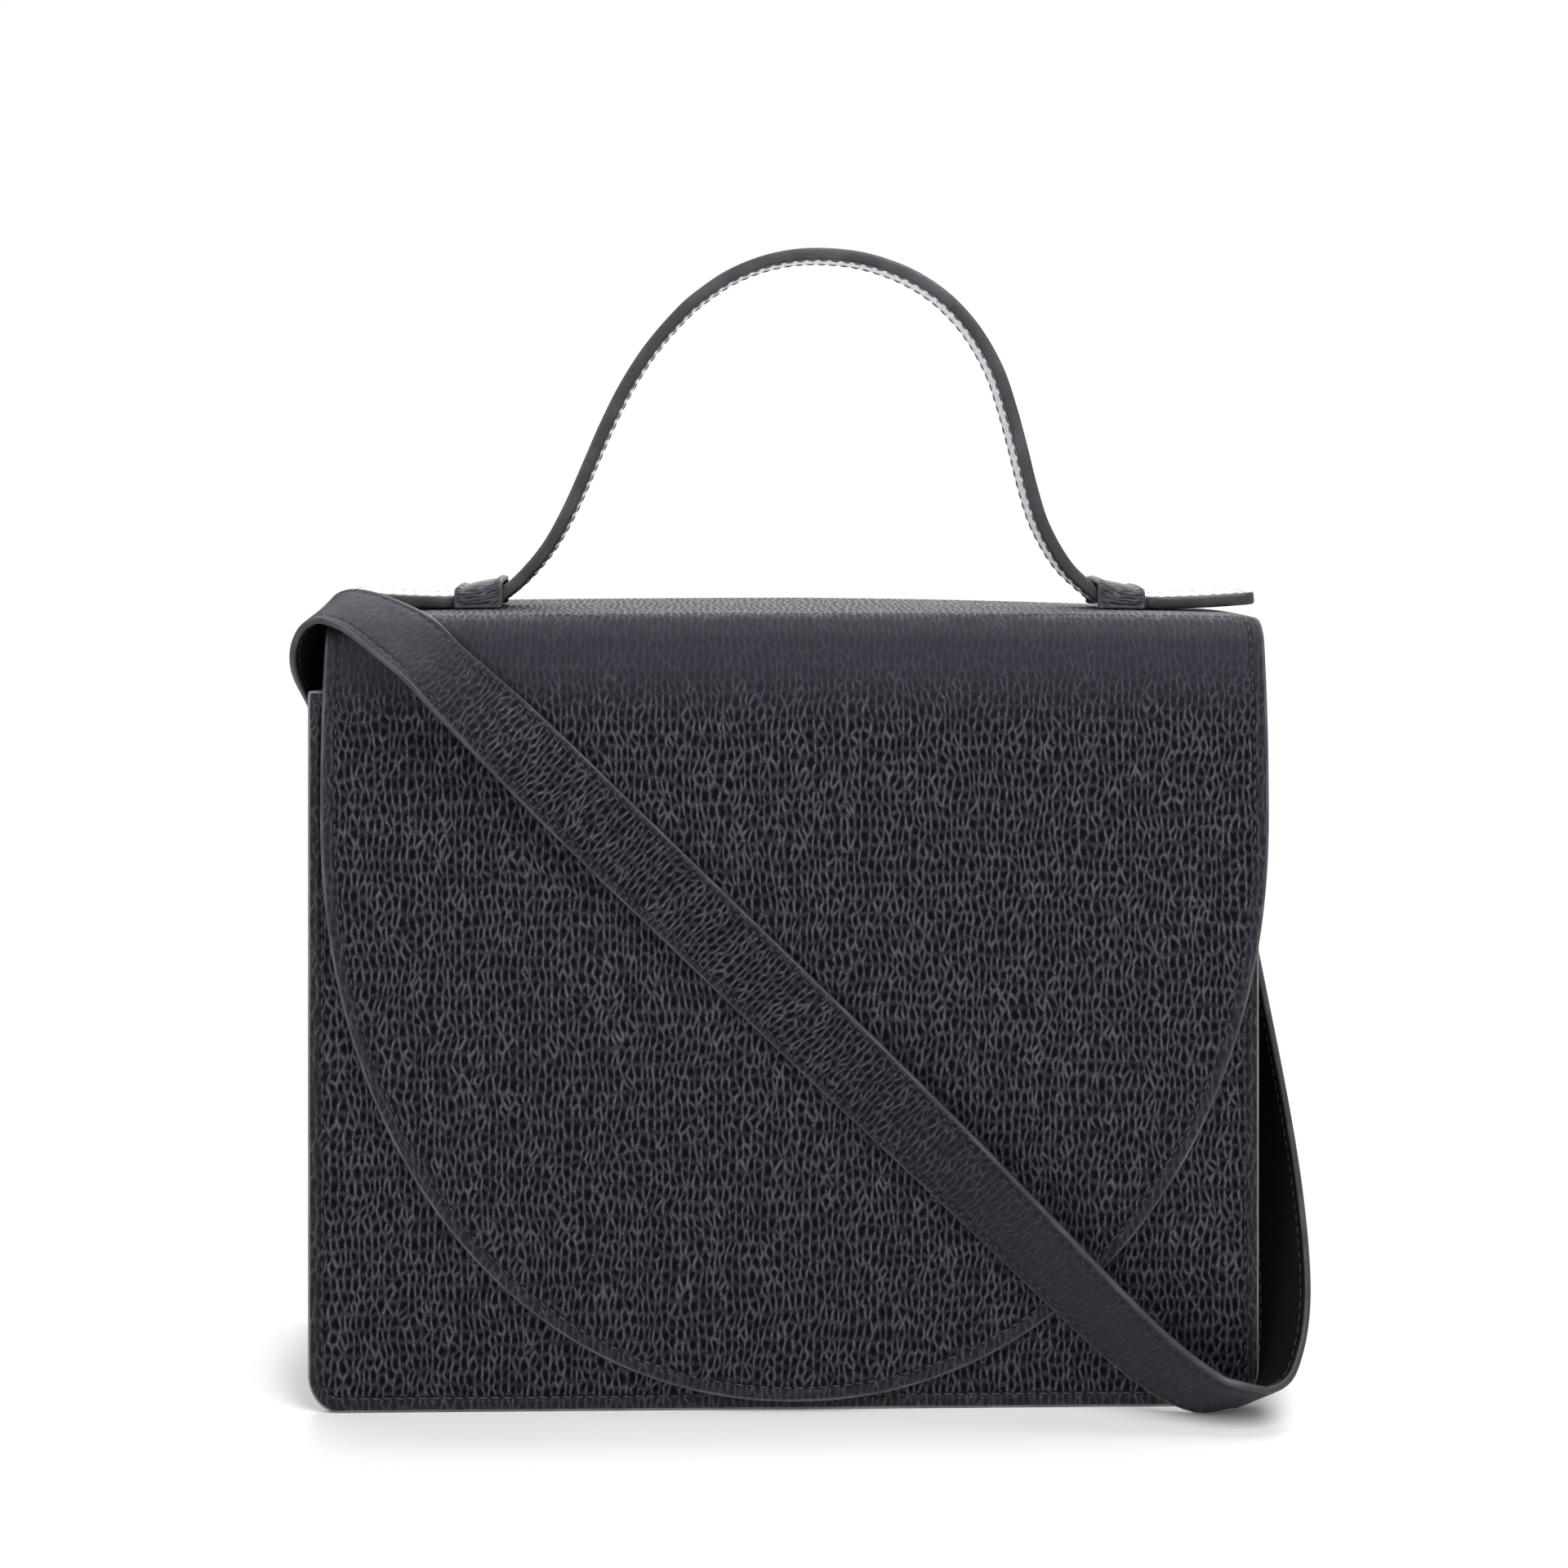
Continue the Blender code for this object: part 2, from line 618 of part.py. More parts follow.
def flap_drop(share, y):
    """How far the flap hangs down at a share of its half width and a depth y, most at its right rear corner."""
    rear = min(1.0, max(0.0, (y + HALF_DEPTH) / BODY_DEPTH))
    return FLAP_END_DROOP * share ** 2 + REAR_CORNER_SAG * max(0.0, share) ** 1.5 * rear ** 1.6


def flap_top(x, y):
    """Height of the flap's top at a place on it."""
    return TOP_HEIGHT - flap_drop(2.0 * (x - FLAP_SIDE_SHIFT) / FLAP_TOP_WIDTH, y)


def strap_seat(x):
    """Height of the middle of the handle strap where its front edge lies on the flap's top."""
    return flap_top(x, -TAIL_END_WIDTH / 2) + FIT_GAP + HANDLE_THICKNESS / 2


def flap_sheet(name, rows, depth_outer, depth_inner, material):
    """A closed sheet over rows of the flap, between two depths under its outer face."""
    work = bmesh.new()
    layers = []
    for depth in (depth_outer, depth_inner):
        layer = []
        for row in rows:
            line = []
            for column in range(FLAP_COLUMNS + 1):
                share = 2.0 * column / FLAP_COLUMNS - 1.0
                x = FLAP_SIDE_SHIFT + share * row["half"]
                y = row["y"] - row["out_y"] * depth
                z = row["z"] - row["out_z"] * depth
                reach = 2.0 * share * row["half"] / FLAP_TOP_WIDTH
                line.append(work.verts.new((x, y, z - row["droop"] * flap_drop(reach, y))))
            layer.append(line)
        layers.append(layer)
    outer, inner = layers
    last_row = len(rows) - 1
    for number in range(last_row):
        for column in range(FLAP_COLUMNS):
            for layer in (outer, inner):
                work.faces.new((layer[number][column], layer[number][column + 1],
                                layer[number + 1][column + 1], layer[number + 1][column]))
        for column in (0, FLAP_COLUMNS):
            work.faces.new((outer[number][column], outer[number + 1][column],
                            inner[number + 1][column], inner[number][column]))
    for number in (0, last_row):
        for column in range(FLAP_COLUMNS):
            work.faces.new((outer[number][column], outer[number][column + 1],
                            inner[number][column + 1], inner[number][column]))
    return make_object(name, work, material)


def whole_flap_rows():
    """Rows from the hinge line over the top and down the front to the point."""
    top_back = HALF_DEPTH - REAR_BEND_RADIUS
    top_front = -FLAP_FRONT + FRONT_BEND_RADIUS
    rows = rear_bend_rows()
    rows += top_rows(top_back, top_front, 2, 0.0)[1:-1]
    rows += front_bend_rows()
    rows += front_rows(TOP_HEIGHT - FRONT_BEND_RADIUS, 0.0)[1:]
    return rows


def top_board_rows(grow):
    """Rows of the board under the handle, grown all round by a clearance."""
    back = HALF_DEPTH - REAR_BEND_RADIUS + grow
    front = -FLAP_FRONT + FRONT_BEND_RADIUS - grow
    return top_rows(back, front, 2, BOARD_MARGIN - grow)


def front_board_rows(grow):
    """Rows of the D-shaped board, grown all round by a clearance."""
    return front_rows(TOP_HEIGHT - FRONT_BEND_RADIUS + grow, BOARD_MARGIN - grow)


def flap_leather():
    """Outer leather of the flap, bent over the back and the front edges."""
    return flap_sheet("flap_leather", whole_flap_rows(), 0.0, FLAP_LEATHER, leather("flap_outer_leather"))


def top_board():
    """Board that carries the keepers."""
    return flap_sheet("top_board", top_board_rows(0.0), FLAP_BOARD_TOP, FLAP_BOARD_UNDER,
                      fibre_board("top_board_fibre"))


def flap_board():
    """D-shaped board that keeps the flap flat, with the seat of the magnet cut through it."""
    board = flap_sheet("flap_board", front_board_rows(0.0), FLAP_BOARD_TOP, FLAP_BOARD_UNDER,
                       fibre_board("flap_board_fibre"))
    cut(board, magnet_seat("flap_magnet_seat", -FLAP_FRONT + FLAP_BOARD_TOP - CUT_OVERRUN,
                           -FLAP_FRONT + FLAP_BOARD_UNDER + CUT_OVERRUN))
    return board


def flap_lining():
    """Suede under the flap, full at its rim and recessed over the two boards."""
    lining = flap_sheet("flap_lining", whole_flap_rows(), FLAP_BOARD_TOP, FLAP_THICKNESS,
                        suede("flap_suede"))
    recess_floor = FLAP_BOARD_UNDER + FIT_GAP
    for name, rows in (("top_recess", top_board_rows(FIT_GAP)), ("front_recess", front_board_rows(FIT_GAP))):
        guide = flap_sheet(name, rows, FLAP_LEATHER, recess_floor, suede(name))
        cut(lining, guide)
    return lining


def keeper_section(height, grow):
    """Half-round topped outline of a keeper at one place along it, outer line or inner line by its grow."""
    half = HANDLE_WIDTH / 2 + KEEPER_CLEARANCE + grow
    top = height - KEEPER_WALL + grow
    radius = KEEPER_CORNER - KEEPER_WALL + grow
    points = [(half, 0.0)]
    points += arc(half - radius, top - radius, radius, 0.0, 90.0, CORNER_STEPS // 2)
    points += arc(-half + radius, top - radius, radius, 90.0, 180.0, CORNER_STEPS // 2)
    points.append((-half, 0.0))
    return points


def keeper(name, side):
    """Leather loop over the handle strap, sewn down on the flap, with a raised rim at each end."""
    arch_end = HANDLE_SIDE_SHIFT + side * HANDLE_HALF_SPAN
    rim_share = KEEPER_RIM_LENGTH / KEEPER_LENGTH
    places = ((0.0, KEEPER_RIM), (rim_share, KEEPER_RIM), (rim_share * 1.15, 0.0),
              (1.0 - rim_share * 1.15, 0.0), (1.0 - rim_share, KEEPER_RIM), (1.0, KEEPER_RIM))
    work = bmesh.new()
    rings = []
    for share, rim in places:
        x = arch_end + side * share * KEEPER_LENGTH
        seat = flap_top(x, -TAIL_END_WIDTH / 2) + FIT_GAP
        height = KEEPER_ARCH_HEIGHT + (KEEPER_TAIL_HEIGHT - KEEPER_ARCH_HEIGHT) * share
        outline = keeper_section(height, KEEPER_WALL + rim)
        outline += list(reversed(keeper_section(height, 0.0)))
        rings.append([work.verts.new((x, y, seat + z)) for y, z in outline])
    bridge_rings(work, rings)
    for ring in (rings[0], rings[-1]):
        close_arch_end(work, ring)
    return make_object(name, work, smooth_leather(name + "_leather"))


def close_arch_end(work, ring):
    """Fill the end of an arch whose ring runs along its outer line and back along its inner one."""
    count = len(ring)
    for number in range(count // 2 - 1):
        work.faces.new((ring[number], ring[number + 1], ring[count - 2 - number], ring[count - 1 - number]))


def smooth_line(keys, steps):
    """A smooth line through key points of any dimension, its speed set by the first three values."""
    keys = [tuple(key) for key in keys]
    gaps = [max((Vector(b[:3]) - Vector(a[:3])).length, 1e-9) for a, b in zip(keys, keys[1:])]
    slopes = []
    for number in range(len(keys)):
        before = max(number - 1, 0)
        after = min(number + 1, len(keys) - 1)
        span = sum(gaps[before:after])
        slopes.append(tuple((b - a) / span for a, b in zip(keys[before], keys[after])))
    line = []
    for number, gap in enumerate(gaps):
        for step in range(steps):
            t = step / steps
            line.append(hermite(keys[number], keys[number + 1], slopes[number], slopes[number + 1], gap, t))
    line.append(keys[-1])
    return line


def hermite(start, end, slope_start, slope_end, gap, t):
    """One point of a cubic between two keys."""
    a = 2 * t ** 3 - 3 * t ** 2 + 1
    b = t ** 3 - 2 * t ** 2 + t
    c = 3 * t ** 2 - 2 * t ** 3
    d = t ** 3 - t ** 2
    return tuple(a * p + b * gap * m + c * q + d * gap * n
                 for p, q, m, n in zip(start, end, slope_start, slope_end))


def band_section(half_width, half_thickness, edge):
    """Outline of a flat band with rounded edges: across it, then out of it."""
    return (
        (-half_width + edge, -half_thickness), (half_width - edge, -half_thickness),
        (half_width, -half_thickness + edge), (half_width, half_thickness - edge),
        (half_width - edge, half_thickness), (-half_width + edge, half_thickness),
        (-half_width, half_thickness - edge), (-half_width, -half_thickness + edge),
    )


def band(name, stations, thickness, edge, material):
    """A flat band through stations of (middle point, direction across, width)."""
    work = bmesh.new()
    rings = []
    for number, (point, side, width) in enumerate(stations):
        before = stations[max(number - 1, 0)][0]
        after = stations[min(number + 1, len(stations) - 1)][0]
        along = (after - before).normalized()
        outward = along.cross(side).normalized()
        across = outward.cross(along)
        ring = []
        for u, v in band_section(width / 2, thickness / 2, edge):
            ring.append(work.verts.new(point + across * u + outward * v))
        rings.append(ring)
    bridge_rings(work, rings)
    work.faces.new(rings[0])
    work.faces.new(rings[-1])
    return make_object(name, work, material)


def handle_line():
    """Middle line of the handle strap in the bag's frame."""
    left = HANDLE_SIDE_SHIFT - HANDLE_HALF_SPAN
    right = HANDLE_SIDE_SHIFT + HANDLE_HALF_SPAN
    keys = []
    for x_share, z_share in HANDLE_SHARES:
        x = HANDLE_SIDE_SHIFT + x_share * HANDLE_HALF_SPAN
        across = min(1.0, max(0.0, (x - left) / (right - left)))
        seat = strap_seat(left) + (strap_seat(right) - strap_seat(left)) * across
        if abs(x_share) > 1.0:
            seat = strap_seat(x)
        keys.append((x, 0.0, seat + z_share * HANDLE_RISE))
    return [Vector(point) for point in smooth_line(keys, 3)]


def handle_stations(points):
    """Stations of the handle strap, grain side out."""
    return [(point, Vector((0.0, 1.0, 0.0)), HANDLE_WIDTH) for point in points]


def handle_pieces():
    """The arched strap in three lengths: the grip and the two legs that bend when it is pressed down."""
    line = handle_line()
    split = TOP_HEIGHT + LEG_TOP_SHARE * HANDLE_RISE
    first = min(number for number, point in enumerate(line) if point.z >= split)
    last = max(number for number, point in enumerate(line) if point.z >= split)
    left = line[:first + 1]
    right = line[last:]
    left[-1] = pulled_back(left[-2], left[-1])
    right[0] = pulled_back(right[1], right[0])
    pieces = []
    for name, points in (("handle_left_leg", left), ("handle_grip", line[first:last + 1]),
                         ("handle_right_leg", right)):
        pieces.append(band(name, handle_stations(points), HANDLE_THICKNESS, HANDLE_EDGE_RADIUS,
                           smooth_leather(name + "_leather")))
    return pieces


def pulled_back(start, end):
    """The end point of a run, drawn back from what it meets by the fit gap."""
    return end - (end - start).normalized() * FIT_GAP


def tail(name, side):
    """Free end of the handle strap beyond its keeper, with shoulders too wide to pull back through."""
    start = FOOT_SHARE * HANDLE_HALF_SPAN + 3 * FIT_GAP
    exit_at = HANDLE_HALF_SPAN + KEEPER_LENGTH + FIT_GAP
    end = exit_at + TAIL_LENGTH - TAIL_SHOULDER * 2
    free = end - exit_at
    places = [(start, HANDLE_WIDTH), (exit_at, HANDLE_WIDTH)]
    for step in range(1, CORNER_STEPS // 2 + 1):
        share = step / (CORNER_STEPS // 2)
        ease = share * share * (3.0 - 2.0 * share)
        places.append((exit_at + TAIL_SHOULDER * share, HANDLE_WIDTH + (TAIL_END_WIDTH - HANDLE_WIDTH) * ease))
    places.append((exit_at + TAIL_SHOULDER + (free - TAIL_SHOULDER - TAIL_CORNER) / 2, TAIL_END_WIDTH))
    for step in range(CORNER_STEPS + 1):
        angle = math.radians(90.0 * step / CORNER_STEPS)
        corner_x = end - TAIL_CORNER + TAIL_CORNER * math.sin(angle)
        places.append((corner_x, TAIL_END_WIDTH - 2.0 * TAIL_CORNER * (1.0 - math.cos(angle))))
    stations = []
    for along, width in places:
        lift_share = max(0.0, (along - exit_at) / free)
        x = HANDLE_SIDE_SHIFT + side * along
        point = Vector((x, 0.0, strap_seat(x) + TAIL_TIP_LIFT * lift_share ** 1.6))
        stations.append((point, Vector((0.0, side, 0.0)), width))
    return band(name, stations, HANDLE_THICKNESS, HANDLE_EDGE_RADIUS, smooth_leather(name + "_leather"))


def placed(shares):
    """A key of the strap's route from its shares."""
    x, y, z, across_x, across_y, across_z = shares
    return (x * HALF_WIDTH, y * HALF_DEPTH, z * TOP_HEIGHT, across_x, across_y, across_z)


def strap_keys():
    """The strap's route from the left anchor, over the flap's corner, down the front and up to the right."""
    lean = LEFT_TAB_LEAN_SHARE
    keys = [(-STRAP_END_MIDDLE, -lean * step, ANCHOR_HEIGHT + step, 0.0, 1.0, lean)
            for step in (-ANCHOR_TAB_BELOW, 0.0, ANCHOR_TAB_BELOW * 0.8)]
    keys += [placed(shares) for shares in LEFT_LOOP_SHARES]
    for x_share, z_share in FLAT_RUN_SHARES:
        keys.append((x_share * HALF_WIDTH, -RUN_MIDDLE - FIT_GAP, z_share * TOP_HEIGHT, 0.70, 0.0, 0.72))
    keys += [placed(shares) for shares in RIGHT_LOOP_SHARES]
    keys += [(STRAP_END_MIDDLE, 0.0, ANCHOR_HEIGHT + step, 0.0, -1.0, 0.0)
             for step in (-ANCHOR_TAB_BELOW, 0.0, ANCHOR_TAB_BELOW)]
    return keys


def shoulder_strap():
    """Flat strap from gusset to gusset, lying across the flap, fixed at both ends by a rivet."""
    stations = []
    for values in smooth_line(strap_keys(), 3):
        stations.append((Vector(values[:3]), Vector(values[3:]).normalized(), STRAP_WIDTH))
    return band("shoulder_strap", stations, STRAP_THICKNESS, STRAP_EDGE_RADIUS,
                smooth_leather("shoulder_strap_leather"))


def strap_patch(name, side):
    """Leather patch on the gusset's outside, under the strap's end."""
    half = PATCH_WIDTH / 2
    low = ANCHOR_HEIGHT - PATCH_HEIGHT / 2
    outline = rounded_outline(-half, half, low, low + PATCH_HEIGHT, PATCH_CORNER, PATCH_CORNER)
    return extrude_outline(name, outline, "X", side * PATCH_INSIDE, side * PATCH_OUTSIDE,
                           leather(name + "_leather"))


def anchor_centre():
    """Where the rivets' shared axis crosses the middle of the bag."""
    return Vector((0.0, 0.0, ANCHOR_HEIGHT))


def rivet_hole(name, side):
    """Guide for the hole through strap, patch, gusset and lining."""
    inner = side * (WEB_INSIDE - FIT_GAP - LINING_THICKNESS - CUT_OVERRUN)
    outer = side * (STRAP_END_OUTSIDE + CUT_OVERRUN)
    return disc(name, anchor_centre(), "X", RIVET_POST_RADIUS + FIT_GAP, inner, outer, HOLE_STEPS,
                dark_metal(name))


def strap_rivet(name, side):
    """Rivet: a domed cap outside, a post through the layers and a flat cap on the lining."""
    inside = WEB_INSIDE - FIT_GAP - LINING_THICKNESS - FIT_GAP
    outside = STRAP_END_OUTSIDE + FIT_GAP
    thick = RIVET_CAP_THICKNESS
    profile = (
        (inside - thick, 0.0), (inside - thick, RIVET_CAP_RADIUS * 0.92), (inside, RIVET_CAP_RADIUS),
        (inside, RIVET_POST_RADIUS), (outside, RIVET_POST_RADIUS), (outside, RIVET_CAP_RADIUS),
        (outside + thick * 0.55, RIVET_CAP_RADIUS * 0.86), (outside + thick, RIVET_CAP_RADIUS * 0.45),
        (outside + thick, 0.0),
    )
    work = bmesh.new()
    chain = [work.verts.new((side * x, r, ANCHOR_HEIGHT)) for x, r in profile]
    edges = [work.edges.new(pair) for pair in zip(chain, chain[1:])]
    bmesh.ops.spin(work, geom=chain + edges, cent=anchor_centre(), axis=(1.0, 0.0, 0.0),
                   angle=math.tau, steps=HOLE_STEPS)
    bmesh.ops.remove_doubles(work, verts=work.verts[:], dist=FIT_GAP / 30)
    return make_object(name, work, dark_metal(name + "_metal"))


def overall_bounds(pieces):
    """Lowest and highest corners of all pieces as they are evaluated."""
    bpy.context.view_layer.update()
    graph = bpy.context.evaluated_depsgraph_get()
    corners = []
    for piece in pieces:
        made = piece.evaluated_get(graph)
        mesh = made.to_mesh()
        corners += [made.matrix_world @ vertex.co for vertex in mesh.vertices]
        made.to_mesh_clear()
    low = Vector([min(corner[axis] for corner in corners) for axis in range(3)])
    high = Vector([max(corner[axis] for corner in corners) for axis in range(3)])
    return low, high


def build_body():
    """Everything that stays still when the flap opens."""
    pieces = [
        front_panel(), back_panel(), gusset(), gusset_lining(), front_stiffener(), back_stiffener(),
        front_lining(), back_lining(), front_facing(), back_facing(), base_board(), slip_pocket(),
        front_magnet(), shoulder_strap(),
    ]
    by_name = {piece.name: piece for piece in pieces}
    for label, side in (("left", -1.0), ("right", 1.0)):
        patch = strap_patch(label + "_strap_patch", side)
        hole = rivet_hole(label + "_rivet_hole", side)
        for pierced in (by_name["gusset"], by_name["gusset_lining"], by_name["shoulder_strap"], patch):
            cut(pierced, hole)
        pieces += [patch, strap_rivet(label + "_strap_rivet", side)]
    return pieces


def build_flap():
    """Everything that swings with the flap and isn't the handle."""
    return [flap_leather(), top_board(), flap_board(), flap_lining(), flap_magnet(),
            keeper("left_keeper", -1.0), keeper("right_keeper", 1.0)]


def main():
    """Build the bag, hang its moving pieces on their axes and set the origin."""
    clear_scene()
    frame = empty("bag_frame", Vector((0.0, 0.0, 0.0)))
    hinge = empty("flap_hinge_axis", Vector((0.0, HALF_DEPTH, HINGE_HEIGHT)), frame)
    body = build_body()
    flap = build_flap()
    left_leg, grip, right_leg = handle_pieces()
    left_tail = tail("handle_left_tail", -1.0)
    right_tail = tail("handle_right_tail", 1.0)
    drop = empty("handle_drop_axis", Vector((HANDLE_SIDE_SHIFT, 0.0, TOP_HEIGHT)), hinge)
    left_exit = HANDLE_SIDE_SHIFT - HANDLE_HALF_SPAN - KEEPER_LENGTH
    right_exit = HANDLE_SIDE_SHIFT + HANDLE_HALF_SPAN + KEEPER_LENGTH
    left_slide = empty("left_tail_axis", Vector((left_exit, 0.0, strap_seat(left_exit))), hinge)
    right_slide = empty("right_tail_axis", Vector((right_exit, 0.0, strap_seat(right_exit))), hinge)
    carry(hinge, *flap)
    carry(drop, grip, left_leg, right_leg)
    carry(left_slide, left_tail)
    carry(right_slide, right_tail)
    for guide in [item for item in bpy.data.objects if item.hide_render]:
        carry(hinge if guide.name.startswith(("flap", "top", "front_recess")) else frame, guide)
    carry(frame, *body)
    everything = body + flap + [left_leg, grip, right_leg, left_tail, right_tail]
    low, high = overall_bounds(everything)
    frame.location = Vector((-(low.x + high.x) / 2, -(low.y + high.y) / 2, -low.z))
    bpy.context.view_layer.update()
    print("bag frame at", tuple(round(value, 6) for value in frame.location))
    print("flap hinge at", tuple(round(value, 6) for value in hinge.matrix_world.translation))
    print("size", tuple(round(value, 5) for value in high - low))


main()
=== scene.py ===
"""The leather briefcase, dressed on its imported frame: hide, painted edges, stitching, suede and studio.

Sizes are metres. Pieces are modelled in the bag's own frame, X to the right, Y to the back and Z up from the
ground, with the body centred on X and Y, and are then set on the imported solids.
"""

import logging
import math
from collections.abc import Callable, Iterator, Mapping, Sequence
from contextlib import contextmanager
from dataclasses import dataclass, field
from enum import Enum
from functools import cache

import bmesh
import bpy
import numpy as np
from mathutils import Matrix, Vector


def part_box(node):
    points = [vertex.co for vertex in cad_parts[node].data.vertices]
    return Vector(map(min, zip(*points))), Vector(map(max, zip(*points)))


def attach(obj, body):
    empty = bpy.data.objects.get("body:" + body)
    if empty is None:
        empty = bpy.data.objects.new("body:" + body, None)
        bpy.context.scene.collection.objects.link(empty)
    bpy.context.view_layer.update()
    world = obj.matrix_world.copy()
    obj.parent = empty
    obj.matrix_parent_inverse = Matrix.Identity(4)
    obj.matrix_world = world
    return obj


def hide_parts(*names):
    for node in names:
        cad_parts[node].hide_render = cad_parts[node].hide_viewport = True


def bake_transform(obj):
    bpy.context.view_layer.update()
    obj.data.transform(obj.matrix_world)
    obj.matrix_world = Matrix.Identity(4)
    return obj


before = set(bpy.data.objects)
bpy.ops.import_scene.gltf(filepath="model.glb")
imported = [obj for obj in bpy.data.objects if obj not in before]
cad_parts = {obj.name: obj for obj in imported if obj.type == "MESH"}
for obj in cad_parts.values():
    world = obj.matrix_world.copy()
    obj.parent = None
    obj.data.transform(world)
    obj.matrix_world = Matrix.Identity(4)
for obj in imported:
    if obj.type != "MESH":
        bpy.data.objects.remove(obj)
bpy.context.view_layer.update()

LOG = logging.getLogger("briefcase")
MM = 0.001


class Side(Enum):
    """The two ends of the bag, seen from the front."""

    LEFT = -1.0
    RIGHT = 1.0


class Part(Enum):
    """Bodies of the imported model."""

    BAG = "bag"
    FLAP = "flap"
    HANDLE = "handle"
    LEFT_TAIL = "left_tail"
    RIGHT_TAIL = "right_tail"


class Slot(Enum):
    """Finishes that the record lists."""

    HIDE = "pebbled_leather"
    STRAP = "strap_leather"
    SUEDE = "suede_lining"
    BOARD = "fibre_board"
    METAL = "dark_metal"


BODY_DEPTH = 0.0900
TO_MM = 1000.0
NODE_STEP = (220, -260)
NODES_A_ROW = 12
SHADER_AT = (2900, 0)
OUTPUT_AT = (3200, 0)

Node = bpy.types.Node
Socket = bpy.types.NodeSocket
Material = bpy.types.Material
Piece = bpy.types.Object
Colour = tuple[float, float, float]
Place = tuple[float, float, float]
# Pale lilac that hides take in their base colour toward grazing angles: a painted reflection.
GLARE: Colour = (0.86, 0.80, 0.90)
WHITE = (1.0, 1.0, 1.0, 1.0)


def bag_origin() -> Vector:
    """Where the middle of the bag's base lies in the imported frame.

    Returns:
        The shift from the bag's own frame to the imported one.
    """
    low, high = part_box("front_panel")
    return Vector(((low.x + high.x) / 2, low.y + BODY_DEPTH / 2, low.z))


ORIGIN = bag_origin()


# Shader building


class Graph:
    """A node tree that is filled from left to right."""

    def __init__(self, tree: bpy.types.NodeTree) -> None:
        """Start on a tree."""
        self.tree = tree
        self.count = 0

    def feed(self, node: Node, inputs: Mapping[str | int, object]) -> None:
        """Link or set a node's inputs.

        Args:
            node: The node.
            inputs: The socket to link or the value to set, by input.
        """
        for label, value in inputs.items():
            if isinstance(value, Socket):
                self.tree.links.new(value, node.inputs[label])
            elif value is not None:
                node.inputs[label].default_value = value

    def add(self, kind: str, inputs: Mapping[str | int, object] | None = None, **options: object) -> Node:
        """Add a node.

        Args:
            kind: The node's class name, without "ShaderNode" at its start.
            inputs: What its inputs take.
            options: Attributes to set on it.

        Returns:
            The new node.
        """
        node = self.tree.nodes.new(kind if kind.startswith("NodeGroup") else "ShaderNode" + kind)
        for name, value in options.items():
            setattr(node, name, value)
        row, column = divmod(self.count, NODES_A_ROW)
        node.location = (NODE_STEP[0] * column, NODE_STEP[1] * row)
        self.count += 1
        self.feed(node, inputs or {})
        return node

    def math(self, operation: str, *values: object, clamp: bool = False) -> Socket:
        """The result of an operation on numbers, held between 0 and 1 on request."""
        return self.add("Math", dict(enumerate(values)), operation=operation, use_clamp=clamp).outputs[0]

    def times(self, first: object, second: object) -> Socket:
        """The product of two numbers."""
        return self.math("MULTIPLY", first, second)

    def times_plus(self, first: object, second: object, third: object) -> Socket:
        """The product of two numbers with a third added."""
        return self.math("MULTIPLY_ADD", first, second, third)

    def vector(self, operation: str, *values: object) -> Socket:
        """The result of an operation on vectors."""
        return self.add("VectorMath", dict(enumerate(values)), operation=operation).outputs[0]

    def scaled(self, vector: object, scale: object) -> Socket:
        """A vector times a number."""
        return self.add("VectorMath", {0: vector, "Scale": scale}, operation="SCALE").outputs[0]

    def step(self, value: object, low: object, high: object, start: float = 0.0, end: float = 1.0) -> Socket:
        """A smooth step from start to end, while a value goes from low to high."""
        inputs = {"Value": value, "From Min": low, "From Max": high, "To Min": start, "To Max": end}
        return self.add("MapRange", inputs, interpolation_type="SMOOTHSTEP").outputs[0]

    def noise(self, vector: object, scale: float, detail: float = 2.0, rough: float = 0.5
              ) -> Mapping[int | str, Socket]:
        """A noise texture's outputs: its number and its colour."""
        return self.add("TexNoise", {"Vector": vector, "Scale": scale, "Detail": detail, "Roughness": rough}).outputs

    def mix(self, share: object, first: object, second: object) -> Socket:
        """Two colours blended, by the share of the second."""
        node = self.add("Mix", {"Factor": share, "A": opaque(first), "B": opaque(second)}, data_type="RGBA")
        return next(socket for socket in node.outputs if socket.type == "RGBA")

    def bump(self, height: object, distance: float, strength: float = 1.0, below: object = None) -> Socket:
        """The normal of a relief whose 1 stands at a distance, on top of another bump's normal."""
        inputs = {"Strength": strength, "Distance": distance, "Height": height, "Normal": below}
        return self.add("Bump", inputs).outputs[0]

    def carried(self, name: str) -> Socket:
        """A number that the mesh carries at its points."""
        return self.add("Attribute", attribute_name=name).outputs["Fac"]

    def in_space(self) -> Socket:
        """Where a texture is read in space, in millimetres."""
        return self.scaled(self.add("TexCoord").outputs["Object"], TO_MM)

    def group(self, make: Callable[[], bpy.types.NodeTree], inputs: Mapping[str, object]) -> Mapping[str, Socket]:
        """The outputs of a shared node group."""
        return self.add("Group", inputs, node_tree=make()).outputs

    def seen_ray(self) -> Socket:
        """Tell the rays that show the background from those that only light the bag.

        Returns:
            1 for a camera, glossy or transmission ray, and 0 for the others.
        """
        path = self.add("LightPath").outputs
        seen = self.math("MAXIMUM", path["Is Camera Ray"], path["Is Glossy Ray"])
        return self.math("MAXIMUM", seen, path["Is Transmission Ray"])


def opaque(colour: object) -> object:
    """A colour with its alpha, or the socket as it is."""
    return (*colour, 1.0) if isinstance(colour, tuple) and len(colour) == 3 else colour


